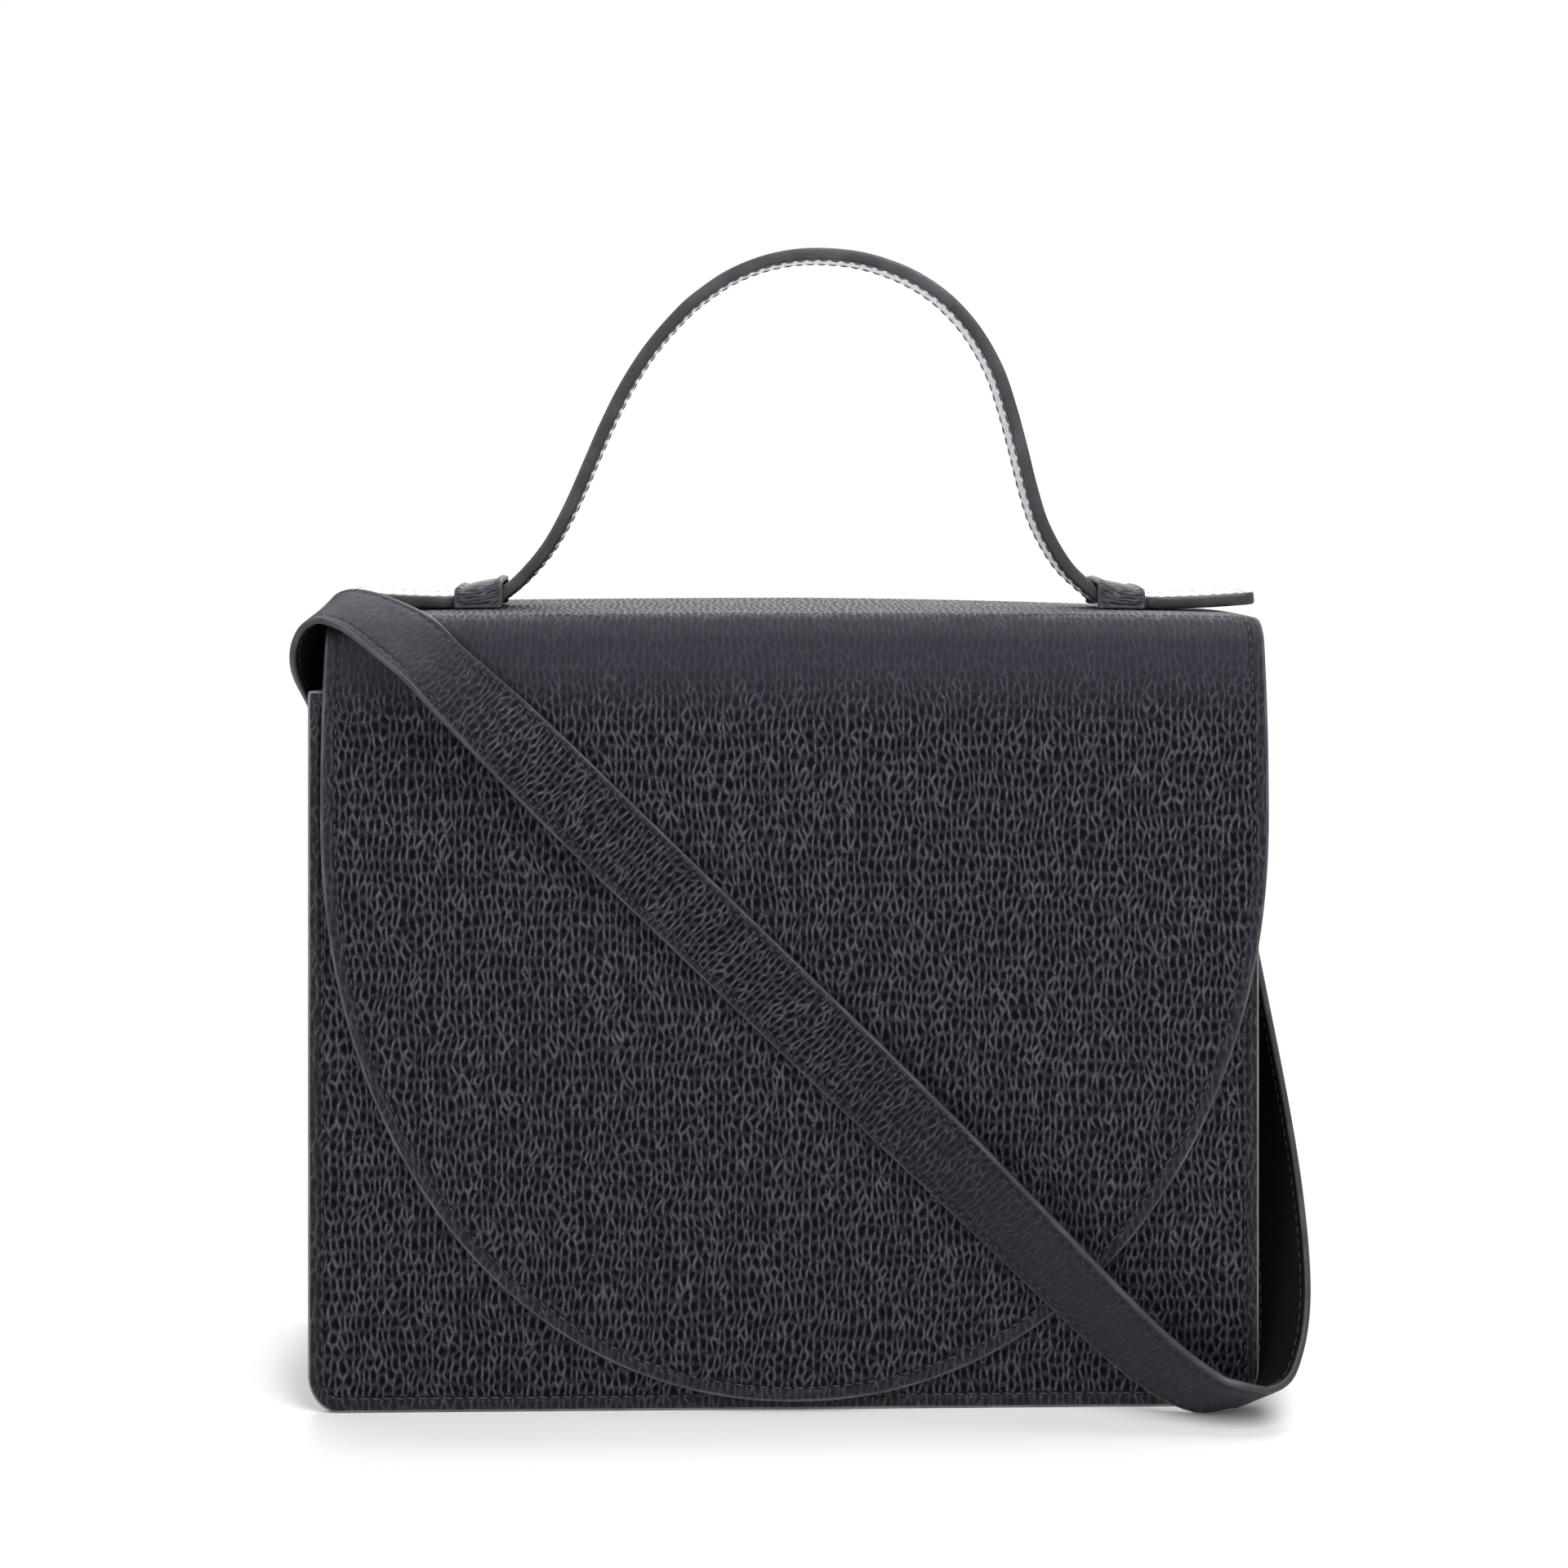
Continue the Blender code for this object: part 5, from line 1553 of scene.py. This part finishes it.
def ribbon(points: np.ndarray, sides: np.ndarray, widths: np.ndarray, lift: float) -> np.ndarray:
    """The face of a flat band.

    Args:
        points: Its middle line.
        sides: The directions across it.
        widths: Its face's width at each point.
        lift: How far the face lies from the middle line.

    Returns:
        The grid of points.
    """
    along = unit(np.gradient(points, axis=0))
    outward = unit(np.cross(along, sides))
    across = np.cross(outward, along)
    shares = np.array(BAND_SHARES)[None, :, None] * (widths / 2)[:, None, None]
    return points[:, None, :] + across[:, None, :] * shares + outward[:, None, :] * lift


def band_seams(leaf: Leaf, back: bool = False) -> list[Seam]:
    """The two seams along a band's edges.

    Args:
        leaf: The band.
        back: Whether they lie on its back.

    Returns:
        A line and its directions for each edge.
    """
    runs = []
    last = leaf.grid.shape[1] - 1
    middle = (last + 1) // 2
    for first, second in ((0, last), (last, 0)):
        width = np.linalg.norm(leaf.faces[:, first] - leaf.faces[:, second], axis=1)
        share = np.clip((BAND_SEAM - leaf.corner) / width, 0.0, 0.5)[:, None]
        line = leaf.faces[:, first] * (1 - share) + leaf.faces[:, second] * share
        normal = leaf.normals[:, middle]
        gap = ((leaf.faces[:, middle] - line) * normal).sum(1)[:, None]
        line = line + normal * (gap - BAND_FURROW)
        at = np.concatenate([[0.0], np.cumsum(np.linalg.norm(np.diff(line, axis=0), axis=1))])
        keep = (at > BAND_SEAM_ENDS) & (at < at[-1] - BAND_SEAM_ENDS)
        line, normal = line[keep], normal[keep]
        runs.append((line - normal * leaf.thickness, -normal) if back else (line, normal))
    return runs


@dataclass
class Handle:
    """The arched strap, its two tails and the keepers that hold it."""

    shell: Shell
    finishes: Finishes
    side_shift: float = 0.0061
    half_span: float = 0.0978
    rise: float = 0.1147
    width: float = 0.0220
    thickness: float = 0.0042
    edge_radius: float = 0.0009
    tail_length: float = 0.0442
    tail_end_width: float = 0.0250
    tail_corner: float = 0.0040
    tail_lift: float = 0.0024
    keeper_length: float = 0.0158
    keeper_wall: float = 0.0014
    keeper_clearance: float = 0.0005
    keeper_arch: float = 0.0092
    keeper_tail: float = 0.0065
    keeper_corner: float = 0.0026
    keeper_rim: tuple[float, float, float, int] = (1.5 * MM, 0.55 * MM, 0.9 * MM, 4)
    keeper_groove: tuple[float, float, float, int] = (3.4 * MM, -0.20 * MM, 0.5 * MM, 2)
    keeper_crown: float = 0.25 * MM
    keeper_shares: tuple[float, ...] = (0.0, 0.04, 0.08, 0.12, 0.16, 0.20, 0.25, 0.32, 0.42, 0.5, 0.58, 0.68, 0.75,
                                        0.80, 0.84, 0.88, 0.92, 0.96, 1.0)
    shoulder: float = 4.0 * MM
    foot_share: float = 1.060
    press: tuple[Place, Place] = ((0.0, 0.0, 0.2560), (0.0, 0.0, 0.2850))
    shares: tuple[tuple[float, float], ...] = (
        (-1.060, 0.000), (-1.030, 0.006), (-0.989, 0.028), (-0.923, 0.079), (-0.844, 0.163), (-0.773, 0.275),
        (-0.715, 0.387), (-0.658, 0.499), (-0.592, 0.612), (-0.508, 0.724), (-0.394, 0.836), (-0.315, 0.892),
        (-0.230, 0.939), (-0.120, 0.977), (-0.010, 0.996), (0.100, 0.998), (0.210, 0.987), (0.320, 0.959),
        (0.412, 0.921), (0.502, 0.865), (0.590, 0.781), (0.666, 0.668), (0.711, 0.556), (0.747, 0.443),
        (0.780, 0.330), (0.822, 0.218), (0.898, 0.105), (0.975, 0.040), (1.025, 0.008), (1.060, 0.000))

    def seat(self, x: float) -> float:
        """Height of the strap's middle where it lies on the flap."""
        return self.shell.flap_top_at(x, -self.tail_end_width / 2) + self.shell.gap + self.thickness / 2

    def line(self) -> np.ndarray:
        """Run the arch from seat to seat.

        Returns:
            Its middle line.
        """
        left = self.side_shift - self.half_span
        right = self.side_shift + self.half_span
        keys = []
        for x_share, z_share in self.shares:
            x = self.side_shift + x_share * self.half_span
            across = min(1.0, max(0.0, (x - left) / (right - left)))
            seat = self.seat(left) + (self.seat(right) - self.seat(left)) * across
            if abs(x_share) > 1.0:
                seat = self.seat(x)
            keys.append((x, 0.0, seat + z_share * self.rise))
        return hermite_line(keys, 6)

    def build(self) -> None:
        """Make and dress the arch, the tails and the keepers."""
        self.arch()
        for side in Side:
            self.tail(side)
            self.keeper(side)

    def band(self, name: str, points: np.ndarray, widths: np.ndarray, across: float) -> Leaf:
        """A stretch of the strap.

        Args:
            name: Its name.
            points: Its middle line.
            widths: Its width at each point.
            across: Which way along Y it is laid.

        Returns:
            The leaf.
        """
        sides = np.repeat(np.array([[0.0, across, 0.0]]), len(points), axis=0)
        grid = ribbon(points, sides, widths - 2 * self.edge_radius, self.thickness / 2)
        return Leaf(name, grid, (0.0, 0.0, 1.0), self.thickness,
                    (self.finishes.handle, self.finishes.strap_edge, self.finishes.handle), self.edge_radius,
                    relief=sewn_relief(BAND_SEAM, 0.00022, 0.00012))

    def arch(self) -> None:
        """The strap between the keepers, in one piece."""
        points = self.line()
        leaf = self.band("handle_arch", points, np.full(len(points), self.width), 1.0)
        stitches = Stitching("handle_arch_stitching", self.finishes.thread, STRAP_THREAD)
        bend(leaf.build(), Part.HANDLE, self.press, Slot.STRAP, "handle_grip", "handle_left_leg",
             "handle_right_leg", before=Part.FLAP)
        bend(stitches.sewn(*band_seams(leaf), *band_seams(leaf, True)), Part.HANDLE, self.press, Slot.STRAP,
             before=Part.FLAP)

    def tail(self, side: Side) -> None:
        """A free end beyond its keeper, with shoulders too wide to pull back.

        Args:
            side: Which end.
        """
        start = self.foot_share * self.half_span + 3 * self.shell.gap
        exit_at = self.half_span + self.keeper_length + self.shell.gap
        shoulder = self.shoulder
        end = exit_at + self.tail_length - 2 * shoulder
        free = end - exit_at
        places = [(start, self.width), (exit_at - shoulder, self.width), (exit_at, self.width)]
        for share in np.linspace(0.0, 1.0, 7)[1:]:
            places.append((exit_at + shoulder * share,
                           self.width + (self.tail_end_width - self.width) * float(smooth(share, 0.0, 1.0))))
        for share in np.linspace(0.0, 1.0, 9)[1:-1]:
            places.append((exit_at + shoulder + (free - shoulder - self.tail_corner) * share, self.tail_end_width))
        for angle in np.radians(np.linspace(0.0, 86.0, 10)):
            places.append((end - self.tail_corner + self.tail_corner * math.sin(angle),
                           self.tail_end_width - 2 * self.tail_corner * (1 - math.cos(angle))))
        points, widths = [], []
        for place, width in places:
            along = min(place, end - self.edge_radius)
            x = self.side_shift + side.value * along
            lift = self.tail_lift * max(0.0, (along - exit_at) / free) ** 1.6
            points.append((x, 0.0, self.seat(x) + lift))
            widths.append(width)
        points = np.array(points)
        keep = np.concatenate([[True], np.linalg.norm(np.diff(points, axis=0), axis=1) > 1e-5])
        points, widths = points[keep], np.array(widths)[keep]
        name = side.name.lower() + "_tail"
        leaf = self.band(name + "_hide", points, widths, side.value)
        part = Part.LEFT_TAIL if side is Side.LEFT else Part.RIGHT_TAIL
        ride(leaf.build(), part, Slot.STRAP, "handle_" + name)
        stitches = Stitching(name + "_stitching", self.finishes.thread, STRAP_THREAD)
        ride(stitches.sewn(leaf.seam(BAND_SEAM)), part, Slot.STRAP)

    def keeper(self, side: Side) -> None:
        """A loop over the strap, with a raised rim near each end.

        Args:
            side: Which end.
        """
        half = self.width / 2 + self.keeper_clearance + self.keeper_wall
        corner = self.keeper_wall * 0.42
        start = self.half_span
        rows = []
        for share in self.keeper_shares:
            along = start + corner + share * (self.keeper_length - 2 * corner)
            x = self.side_shift + side.value * along
            foot = self.shell.flap_top_at(x, -self.tail_end_width / 2) + self.shell.gap
            top = self.keeper_arch + (self.keeper_tail - self.keeper_arch) * share
            radius = self.keeper_corner
            section = [(half, corner), (half, top * 0.25), (half, top * 0.5)]
            section += arc_points((half - radius, top - radius), radius, 0.0, 90.0, 8)
            section += [(half * (1.0 - 2.0 * part), top + self.keeper_crown * math.sin(math.pi * part))
                        for part in np.linspace(0.15, 0.85, 12)]
            section += arc_points((-half + radius, top - radius), radius, 90.0, 180.0, 8)
            section += [(-half, top * 0.5), (-half, top * 0.25), (-half, corner)]
            rows.append([(x, y, foot + z) for y, z in section])

        def relief(_: np.ndarray, at: np.ndarray) -> np.ndarray:
            """A raised rim near each end, and a groove beside it.

            Args:
                at: The grid of points.

            Returns:
                The height at each point.
            """
            along = np.abs(at[..., 0] - self.side_shift) - start
            ridge = np.zeros(along.shape)
            for inset, height, width, power in (self.keeper_rim, self.keeper_groove):
                for place in (inset, self.keeper_length - inset):
                    ridge += height * np.exp(-((along - place) / width) ** power)
            return ridge

        name = side.name.lower() + "_keeper"
        leaf = Leaf(name + "_hide", np.array(rows), (0.0, 0.0, 1.0), self.keeper_wall,
                    (self.finishes.keeper, self.finishes.edge, self.finishes.handle), corner, relief=relief)
        ride(leaf.build(), Part.FLAP, Slot.STRAP, name)


@dataclass
class ShoulderStrap:
    """The long strap laid across the front, its patches and its rivets."""

    shell: Shell
    finishes: Finishes
    width: float = 0.0242
    thickness: float = 0.0023
    edge_radius: float = 0.0008
    anchor: float = 0.1980
    tab_below: float = 0.0110
    lean: float = 0.50
    patch_width: float = 0.0300
    patch_height: float = 0.0400
    patch_corner: float = 0.0050
    patch_thickness: float = 0.0010
    patch_seam: float = 2.7 * MM
    patch_pitch: float = 3.3 * MM
    rivet_steps: int = 40
    rivet_radius: float = 0.0045
    rivet_cap: float = 0.0010
    rivet_post: float = 0.0018
    left_loop: tuple[tuple[float, ...], ...] = (
        (-0.9980, -0.4200, 0.9120, 0.14, 0.62, 0.77), (-1.0060, -0.7300, 0.9470, 0.26, 0.82, 0.50),
        (-0.9990, -0.9250, 0.9760, 0.30, 0.91, 0.28), (-0.9810, -0.9900, 1.0010, 0.30, 0.91, 0.29),
        (-0.9346, -0.9950, 1.0150, 0.28, 0.90, 0.34), (-0.8616, -1.0450, 0.9985, 0.29, 0.85, 0.44),
        (-0.7960, -1.1800, 0.9780, 0.27, 0.77, 0.58), (-0.7510, -1.2850, 0.9590, 0.31, 0.72, 0.62),
        (-0.7080, -1.3080, 0.9310, 0.36, 0.66, 0.66), (-0.6010, -1.2620, 0.8710, 0.58, 0.49, 0.65),
        (-0.4334, -1.1720, 0.7660, 0.69, 0.15, 0.71))
    flat_run: tuple[tuple[float, float], ...] = ((-0.1950, 0.6280), (0.0090, 0.5080))
    split_at: float = -0.0930
    left_bend: tuple[Place, Place] = ((-0.1450, 0.0, 0.2070), (-0.1173, -0.0292, 0.2378))
    right_bend: tuple[Place, Place] = ((0.1500, 0.0, 0.1870), (0.0630, 0.0, 0.0903))
    right_loop: tuple[tuple[float, ...], ...] = (
        (0.2820, -1.1900, 0.3550, 0.64, -0.24, 0.73), (0.5260, -1.2430, 0.2120, 0.57, -0.44, 0.69),
        (0.6930, -1.2800, 0.1110, 0.48, -0.53, 0.71), (0.8370, -1.3150, 0.0405, 0.34, -0.60, 0.72),
        (0.9402, -1.3150, 0.0270, 0.20, -0.80, 0.56), (1.0092, -1.2142, 0.0355, 0.16, -0.89, 0.42),
        (1.0340, -1.0640, 0.0524, 0.33, -0.86, 0.38), (1.0590, -0.8911, 0.1026, 0.46, -0.83, 0.32),
        (1.0669, -0.7565, 0.1644, 0.49, -0.85, 0.18), (1.0646, -0.5990, 0.2734, 0.40, -0.90, 0.15),
        (1.0460, -0.4317, 0.3959, 0.28, -0.95, 0.14), (1.0197, -0.2687, 0.5249, 0.16, -0.98, 0.12),
        (0.9980, -0.1173, 0.6439, 0.05, -0.99, 0.10))

    @property
    def patch_inside(self) -> float:
        """Distance of the patches' inner faces from the middle."""
        return self.shell.half_width - self.shell.seam + self.shell.gusset + self.shell.gap

    @property
    def end_middle(self) -> float:
        """Distance of the strap's ends from the middle."""
        return self.patch_inside + self.patch_thickness + self.shell.gap + self.thickness / 2

    def keys(self) -> list[tuple[float, ...]]:
        """Join the loops, the run on the flap and the ends.

        Returns:
            The strap's route from anchor to anchor: a place and a direction across it for each key.
        """
        shell = self.shell
        keys: list[tuple[float, ...]] = [
            (-self.end_middle, -self.lean * step, self.anchor + step, 0.0, 1.0, self.lean)
            for step in (-self.tab_below, 0.0, self.tab_below * 0.8)]
        keys += [self.placed(row) for row in self.left_loop]
        run = shell.flap_front + shell.gap + self.thickness / 2 + shell.gap
        keys += [(x * shell.half_width, -run, z * shell.top, 0.70, 0.0, 0.72) for x, z in self.flat_run]
        keys += [self.placed(row) for row in self.right_loop]
        keys += [(self.end_middle, 0.0, self.anchor + step, 0.0, -1.0, 0.0)
                 for step in (-self.tab_below, 0.0, self.tab_below)]
        return keys

    def placed(self, row: Sequence[float]) -> tuple[float, ...]:
        """A key of the route in metres."""
        shell = self.shell
        return (row[0] * shell.half_width, row[1] * shell.half_depth, row[2] * shell.top, *row[3:])

    def build(self) -> None:
        """Make and dress the strap, the patches and the rivets."""
        self.strap()
        for side in Side:
            self.patch(side)
            self.rivet(side)

    def strap(self) -> None:
        """The strap itself, running from the bag across the flap that it lies on."""
        line = eased(hermite_line(self.keys(), 8), 40)
        points, sides = line[:, :3], unit(line[:, 3:])
        lowest = points[:, 2] - self.width / 2 * np.abs(sides[:, 2]) - self.thickness / 2
        points[:, 2] += np.maximum(0.0, self.shell.gap - lowest)
        widths = np.full(len(points), self.width - 2 * self.edge_radius)
        grid = ribbon(points, sides, widths, self.thickness / 2)

        def calm(at: np.ndarray) -> np.ndarray:
            """How far the grain is stretched smooth, high on the left and low on the right."""
            along = np.arange(len(at)) / len(at)
            share = 0.74 * (1 - smooth(along, 0.31, 0.41)) + 0.76 * smooth(along, 0.485, 0.560)
            return np.repeat(share[:, None], at.shape[1], axis=1)

        leaf = Leaf("shoulder_strap_hide", grid, (0.0, -1.0, 0.0), self.thickness,
                    (self.finishes.strap, self.finishes.strap_edge, self.finishes.strap_back_shade), self.edge_radius,
                    relief=sewn_relief(BAND_SEAM, 0.00020, 0.00010), calm=calm)
        middle = int(np.argmin(np.abs(points[:, 0] - self.split_at * self.shell.half_width)))
        along = unit(points[middle + 1] - points[middle - 1])
        self.hang(leaf.build(), points[middle], along, "shoulder_strap")
        for name, thread, back in (("shoulder_strap_stitching", self.finishes.thread, False),
                                   ("shoulder_strap_back_shade_stitching", self.finishes.shaded_back_thread, True)):
            self.hang(Stitching(name, thread, FINE_THREAD).sewn(*band_seams(leaf, back)), points[middle], along)

    def hang(self, piece: Piece, place: np.ndarray, along: np.ndarray, *nodes: str) -> None:
        """Cut the strap's piece in two where it lies on the flap.

        Args:
            piece: The strap's piece.
            place: Where it is cut, in the bag's frame.
            along: The strap's direction there.
            nodes: The solids that it replaces.
        """
        other = cut_off(piece, ORIGIN + Vector(place), Vector(along), piece.name + "_right")
        bend(piece, Part.FLAP, self.left_bend, Slot.STRAP, *nodes)
        bend(other, Part.FLAP, self.right_bend, Slot.STRAP, *nodes)

    def patch(self, side: Side) -> None:
        """Patch on the gusset under the strap's end.

        Args:
            side: Which end.
        """
        corner = self.patch_thickness * 0.45
        half = self.patch_width / 2 - corner
        low = self.anchor - self.patch_height / 2 + corner
        high = self.anchor + self.patch_height / 2 - corner
        radius = self.patch_corner
        fine = tuple(value * MM for value in (0.0, 0.9, 1.8, 2.7, 3.6, 5.0))
        heights = spread(low, high, fine, 8)
        rounds = radius * (1 - np.cos(np.radians(np.linspace(10.0, 80.0, 6))))
        heights = np.unique(np.round(np.concatenate([heights, low + rounds, high - rounds]), 6))
        face = side.value * (self.patch_inside + self.patch_thickness)
        grid = []
        for z in heights:
            inside = max(0.0, radius - min(z - low, high - z))
            reach = half + math.sqrt(max(radius ** 2 - inside ** 2, 0.0)) - radius
            grid.append([(face, y, z) for y in spread(-reach, reach, fine, 6)])
        name = side.name.lower() + "_anchor_patch"
        leaf = Leaf(name, np.array(grid), (side.value, 0.0, 0.0), self.patch_thickness,
                    (self.finishes.panel, self.finishes.edge, self.finishes.suede), corner,
                    relief=sewn_relief(self.patch_seam, 0.00015, 0.00010))
        ride(leaf.build(), Part.BAG, Slot.HIDE, side.name.lower() + "_strap_patch")
        stitches = Stitching(name + "_stitching", self.finishes.thread, STRAP_THREAD, self.patch_pitch)
        ride(stitches.sewn(leaf.seam(self.patch_seam)), Part.BAG, Slot.STRAP)

    def rivet(self, side: Side) -> None:
        """Rivet through strap, patch and gusset, turned in one piece.

        Args:
            side: Which end.
        """
        shell = self.shell
        inside = shell.half_width - shell.seam - shell.gap - shell.lining - shell.gap
        outside = self.end_middle + self.thickness / 2 + shell.gap
        cap, thick, post = self.rivet_radius, self.rivet_cap, self.rivet_post
        profile = [(inside - thick, 0.0), (inside - thick, cap * 0.80), (inside - thick * 0.9, cap * 0.92),
                   (inside - thick * 0.5, cap), (inside, cap), (inside, post), (outside, post), (outside, cap)]
        for angle in np.radians(np.linspace(0.0, 90.0, 9)):
            profile.append((outside + thick * (0.25 + 0.75 * math.sin(angle)), cap * (0.25 + 0.75 * math.cos(angle))
                            * math.cos(angle) ** 0.15 if angle < 1.5 else 0.0))
        steps = self.rivet_steps
        points = []
        for x, r in profile:
            for step in range(steps):
                turn = math.tau * step / steps
                points.append((side.value * x, max(r, 1e-5) * math.cos(turn),
                               self.anchor + max(r, 1e-5) * math.sin(turn)))
        faces = tube_faces(0, len(profile), steps)
        rivet = solid(side.name.lower() + "_anchor_rivet", np.array(points), faces, [0] * len(faces),
                      [self.finishes.metal])
        rivet.data.set_sharp_from_angle(angle=math.radians(40.0))
        ride(rivet, Part.BAG, Slot.METAL, side.name.lower() + "_strap_rivet")


@dataclass
class Studio:
    """Pale floor, soft lamps and the camera at the picture's angle."""

    camera_place: Place = (-0.025, -0.795, 0.304)
    camera_turn: float = -1.16
    lens: float = 54.75
    shift: tuple[float, float] = (0.019, -0.2167)
    sensor: float = 36.0
    clip: tuple[float, float] = (0.01, 20.0)
    floor_size: float = 6.0
    floor_colour: tuple[float, ...] = (0.93, 0.93, 0.93, 1.0)
    shadow_reach: Place = (0.162, 0.052, 0.0)
    shadow_fade: float = 0.024
    world_light: float = 0.37
    lamps: tuple[tuple[str, Place, Place, float, float], ...] = (
        ("key", (0.30, -0.62, 0.86), (0.05, -0.05, 0.20), 0.5, 7.0),
        ("side", (-0.85, -0.80, 0.62), (0.0, 0.0, 0.14), 0.7, 5.0),
        ("top", (0.10, 0.55, 1.35), (0.0, 0.0, 0.20), 1.4, 24.0))

    def build(self) -> None:
        """Make the camera, the floor, the world and the lamps."""
        self.camera()
        self.floor()
        self.world()
        for lamp in self.lamps:
            self.lamp(*lamp)
        bpy.context.scene.view_settings.view_transform = "Standard"

    def camera(self) -> None:
        """The camera of the picture's viewpoint."""
        data = bpy.data.cameras.new("studio_camera")
        data.lens, data.sensor_width = self.lens, self.sensor
        data.shift_x, data.shift_y = self.shift
        data.clip_start, data.clip_end = self.clip
        camera = new_object("studio_camera", data)
        camera.location = ORIGIN + Vector(self.camera_place)
        camera.rotation_euler = (math.radians(90.0), 0.0, math.radians(self.camera_turn))
        bpy.context.scene.camera = camera

    def floor(self) -> None:
        """A pale floor that keeps the bag's shadow and turns white away from it."""
        half = self.floor_size / 2
        mesh = bpy.data.meshes.new("floor")
        mesh.from_pydata([(-half, -half, 0.0), (half, -half, 0.0), (half, half, 0.0), (-half, half, 0.0)], [],
                         [(0, 1, 2, 3)])
        material, graph, shader = new_material("pale_floor")
        graph.feed(shader, {"Roughness": 0.9, "Specular IOR Level": 0.0, "Base Color": self.floor_colour})
        place = graph.vector("ABSOLUTE", graph.add("TexCoord").outputs["Object"])
        beyond = graph.vector("MAXIMUM", graph.vector("SUBTRACT", place, self.shadow_reach), (0.0, 0.0, 0.0))
        far = graph.add("VectorMath", {0: beyond}, operation="LENGTH").outputs["Value"]
        share = graph.times(graph.step(far, 0.0, self.shadow_fade), graph.seen_ray())
        glow = graph.add("Emission", {"Color": WHITE})
        blend = graph.add("MixShader", {0: share, 1: shader.outputs[0], 2: glow.outputs[0]})
        graph.feed(material.node_tree.nodes["Material Output"], {"Surface": blend.outputs[0]})
        mesh.materials.append(material)
        new_object("floor", mesh)

    def world(self) -> None:
        """Even light from all round, white to the camera."""
        world = bpy.data.worlds.new("studio")
        world.use_nodes = True
        bpy.context.scene.world = world
        graph = Graph(world.node_tree)
        strength = graph.times_plus(graph.seen_ray(), 1.0 - self.world_light, self.world_light)
        graph.feed(world.node_tree.nodes["Background"], {"Color": WHITE, "Strength": strength})

    def lamp(self, name: str, place: Place, aim: Place, size: float, power: float) -> None:
        """A soft square lamp.

        Args:
            name: Its name.
            place: Where it hangs.
            aim: What it points at.
            size: Its side.
            power: Its power in watts.
        """
        data = bpy.data.lights.new(name, "AREA")
        data.shape, data.size, data.energy = "SQUARE", size, power
        lamp = new_object(name, data)
        lamp.location = Vector(place)
        lamp.rotation_euler = (Vector(aim) - Vector(place)).to_track_quat("-Z", "Y").to_euler()


def main() -> None:
    """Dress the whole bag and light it."""
    logging.basicConfig(level=logging.INFO, format="%(name)s: %(message)s")
    shell = Shell()
    finishes = Finishes()
    Studio().build()
    Body(shell, finishes).build()
    Flap(shell, finishes).build()
    Handle(shell, finishes).build()
    ShoulderStrap(shell, finishes).build()


if __name__ == "__main__":
    main()
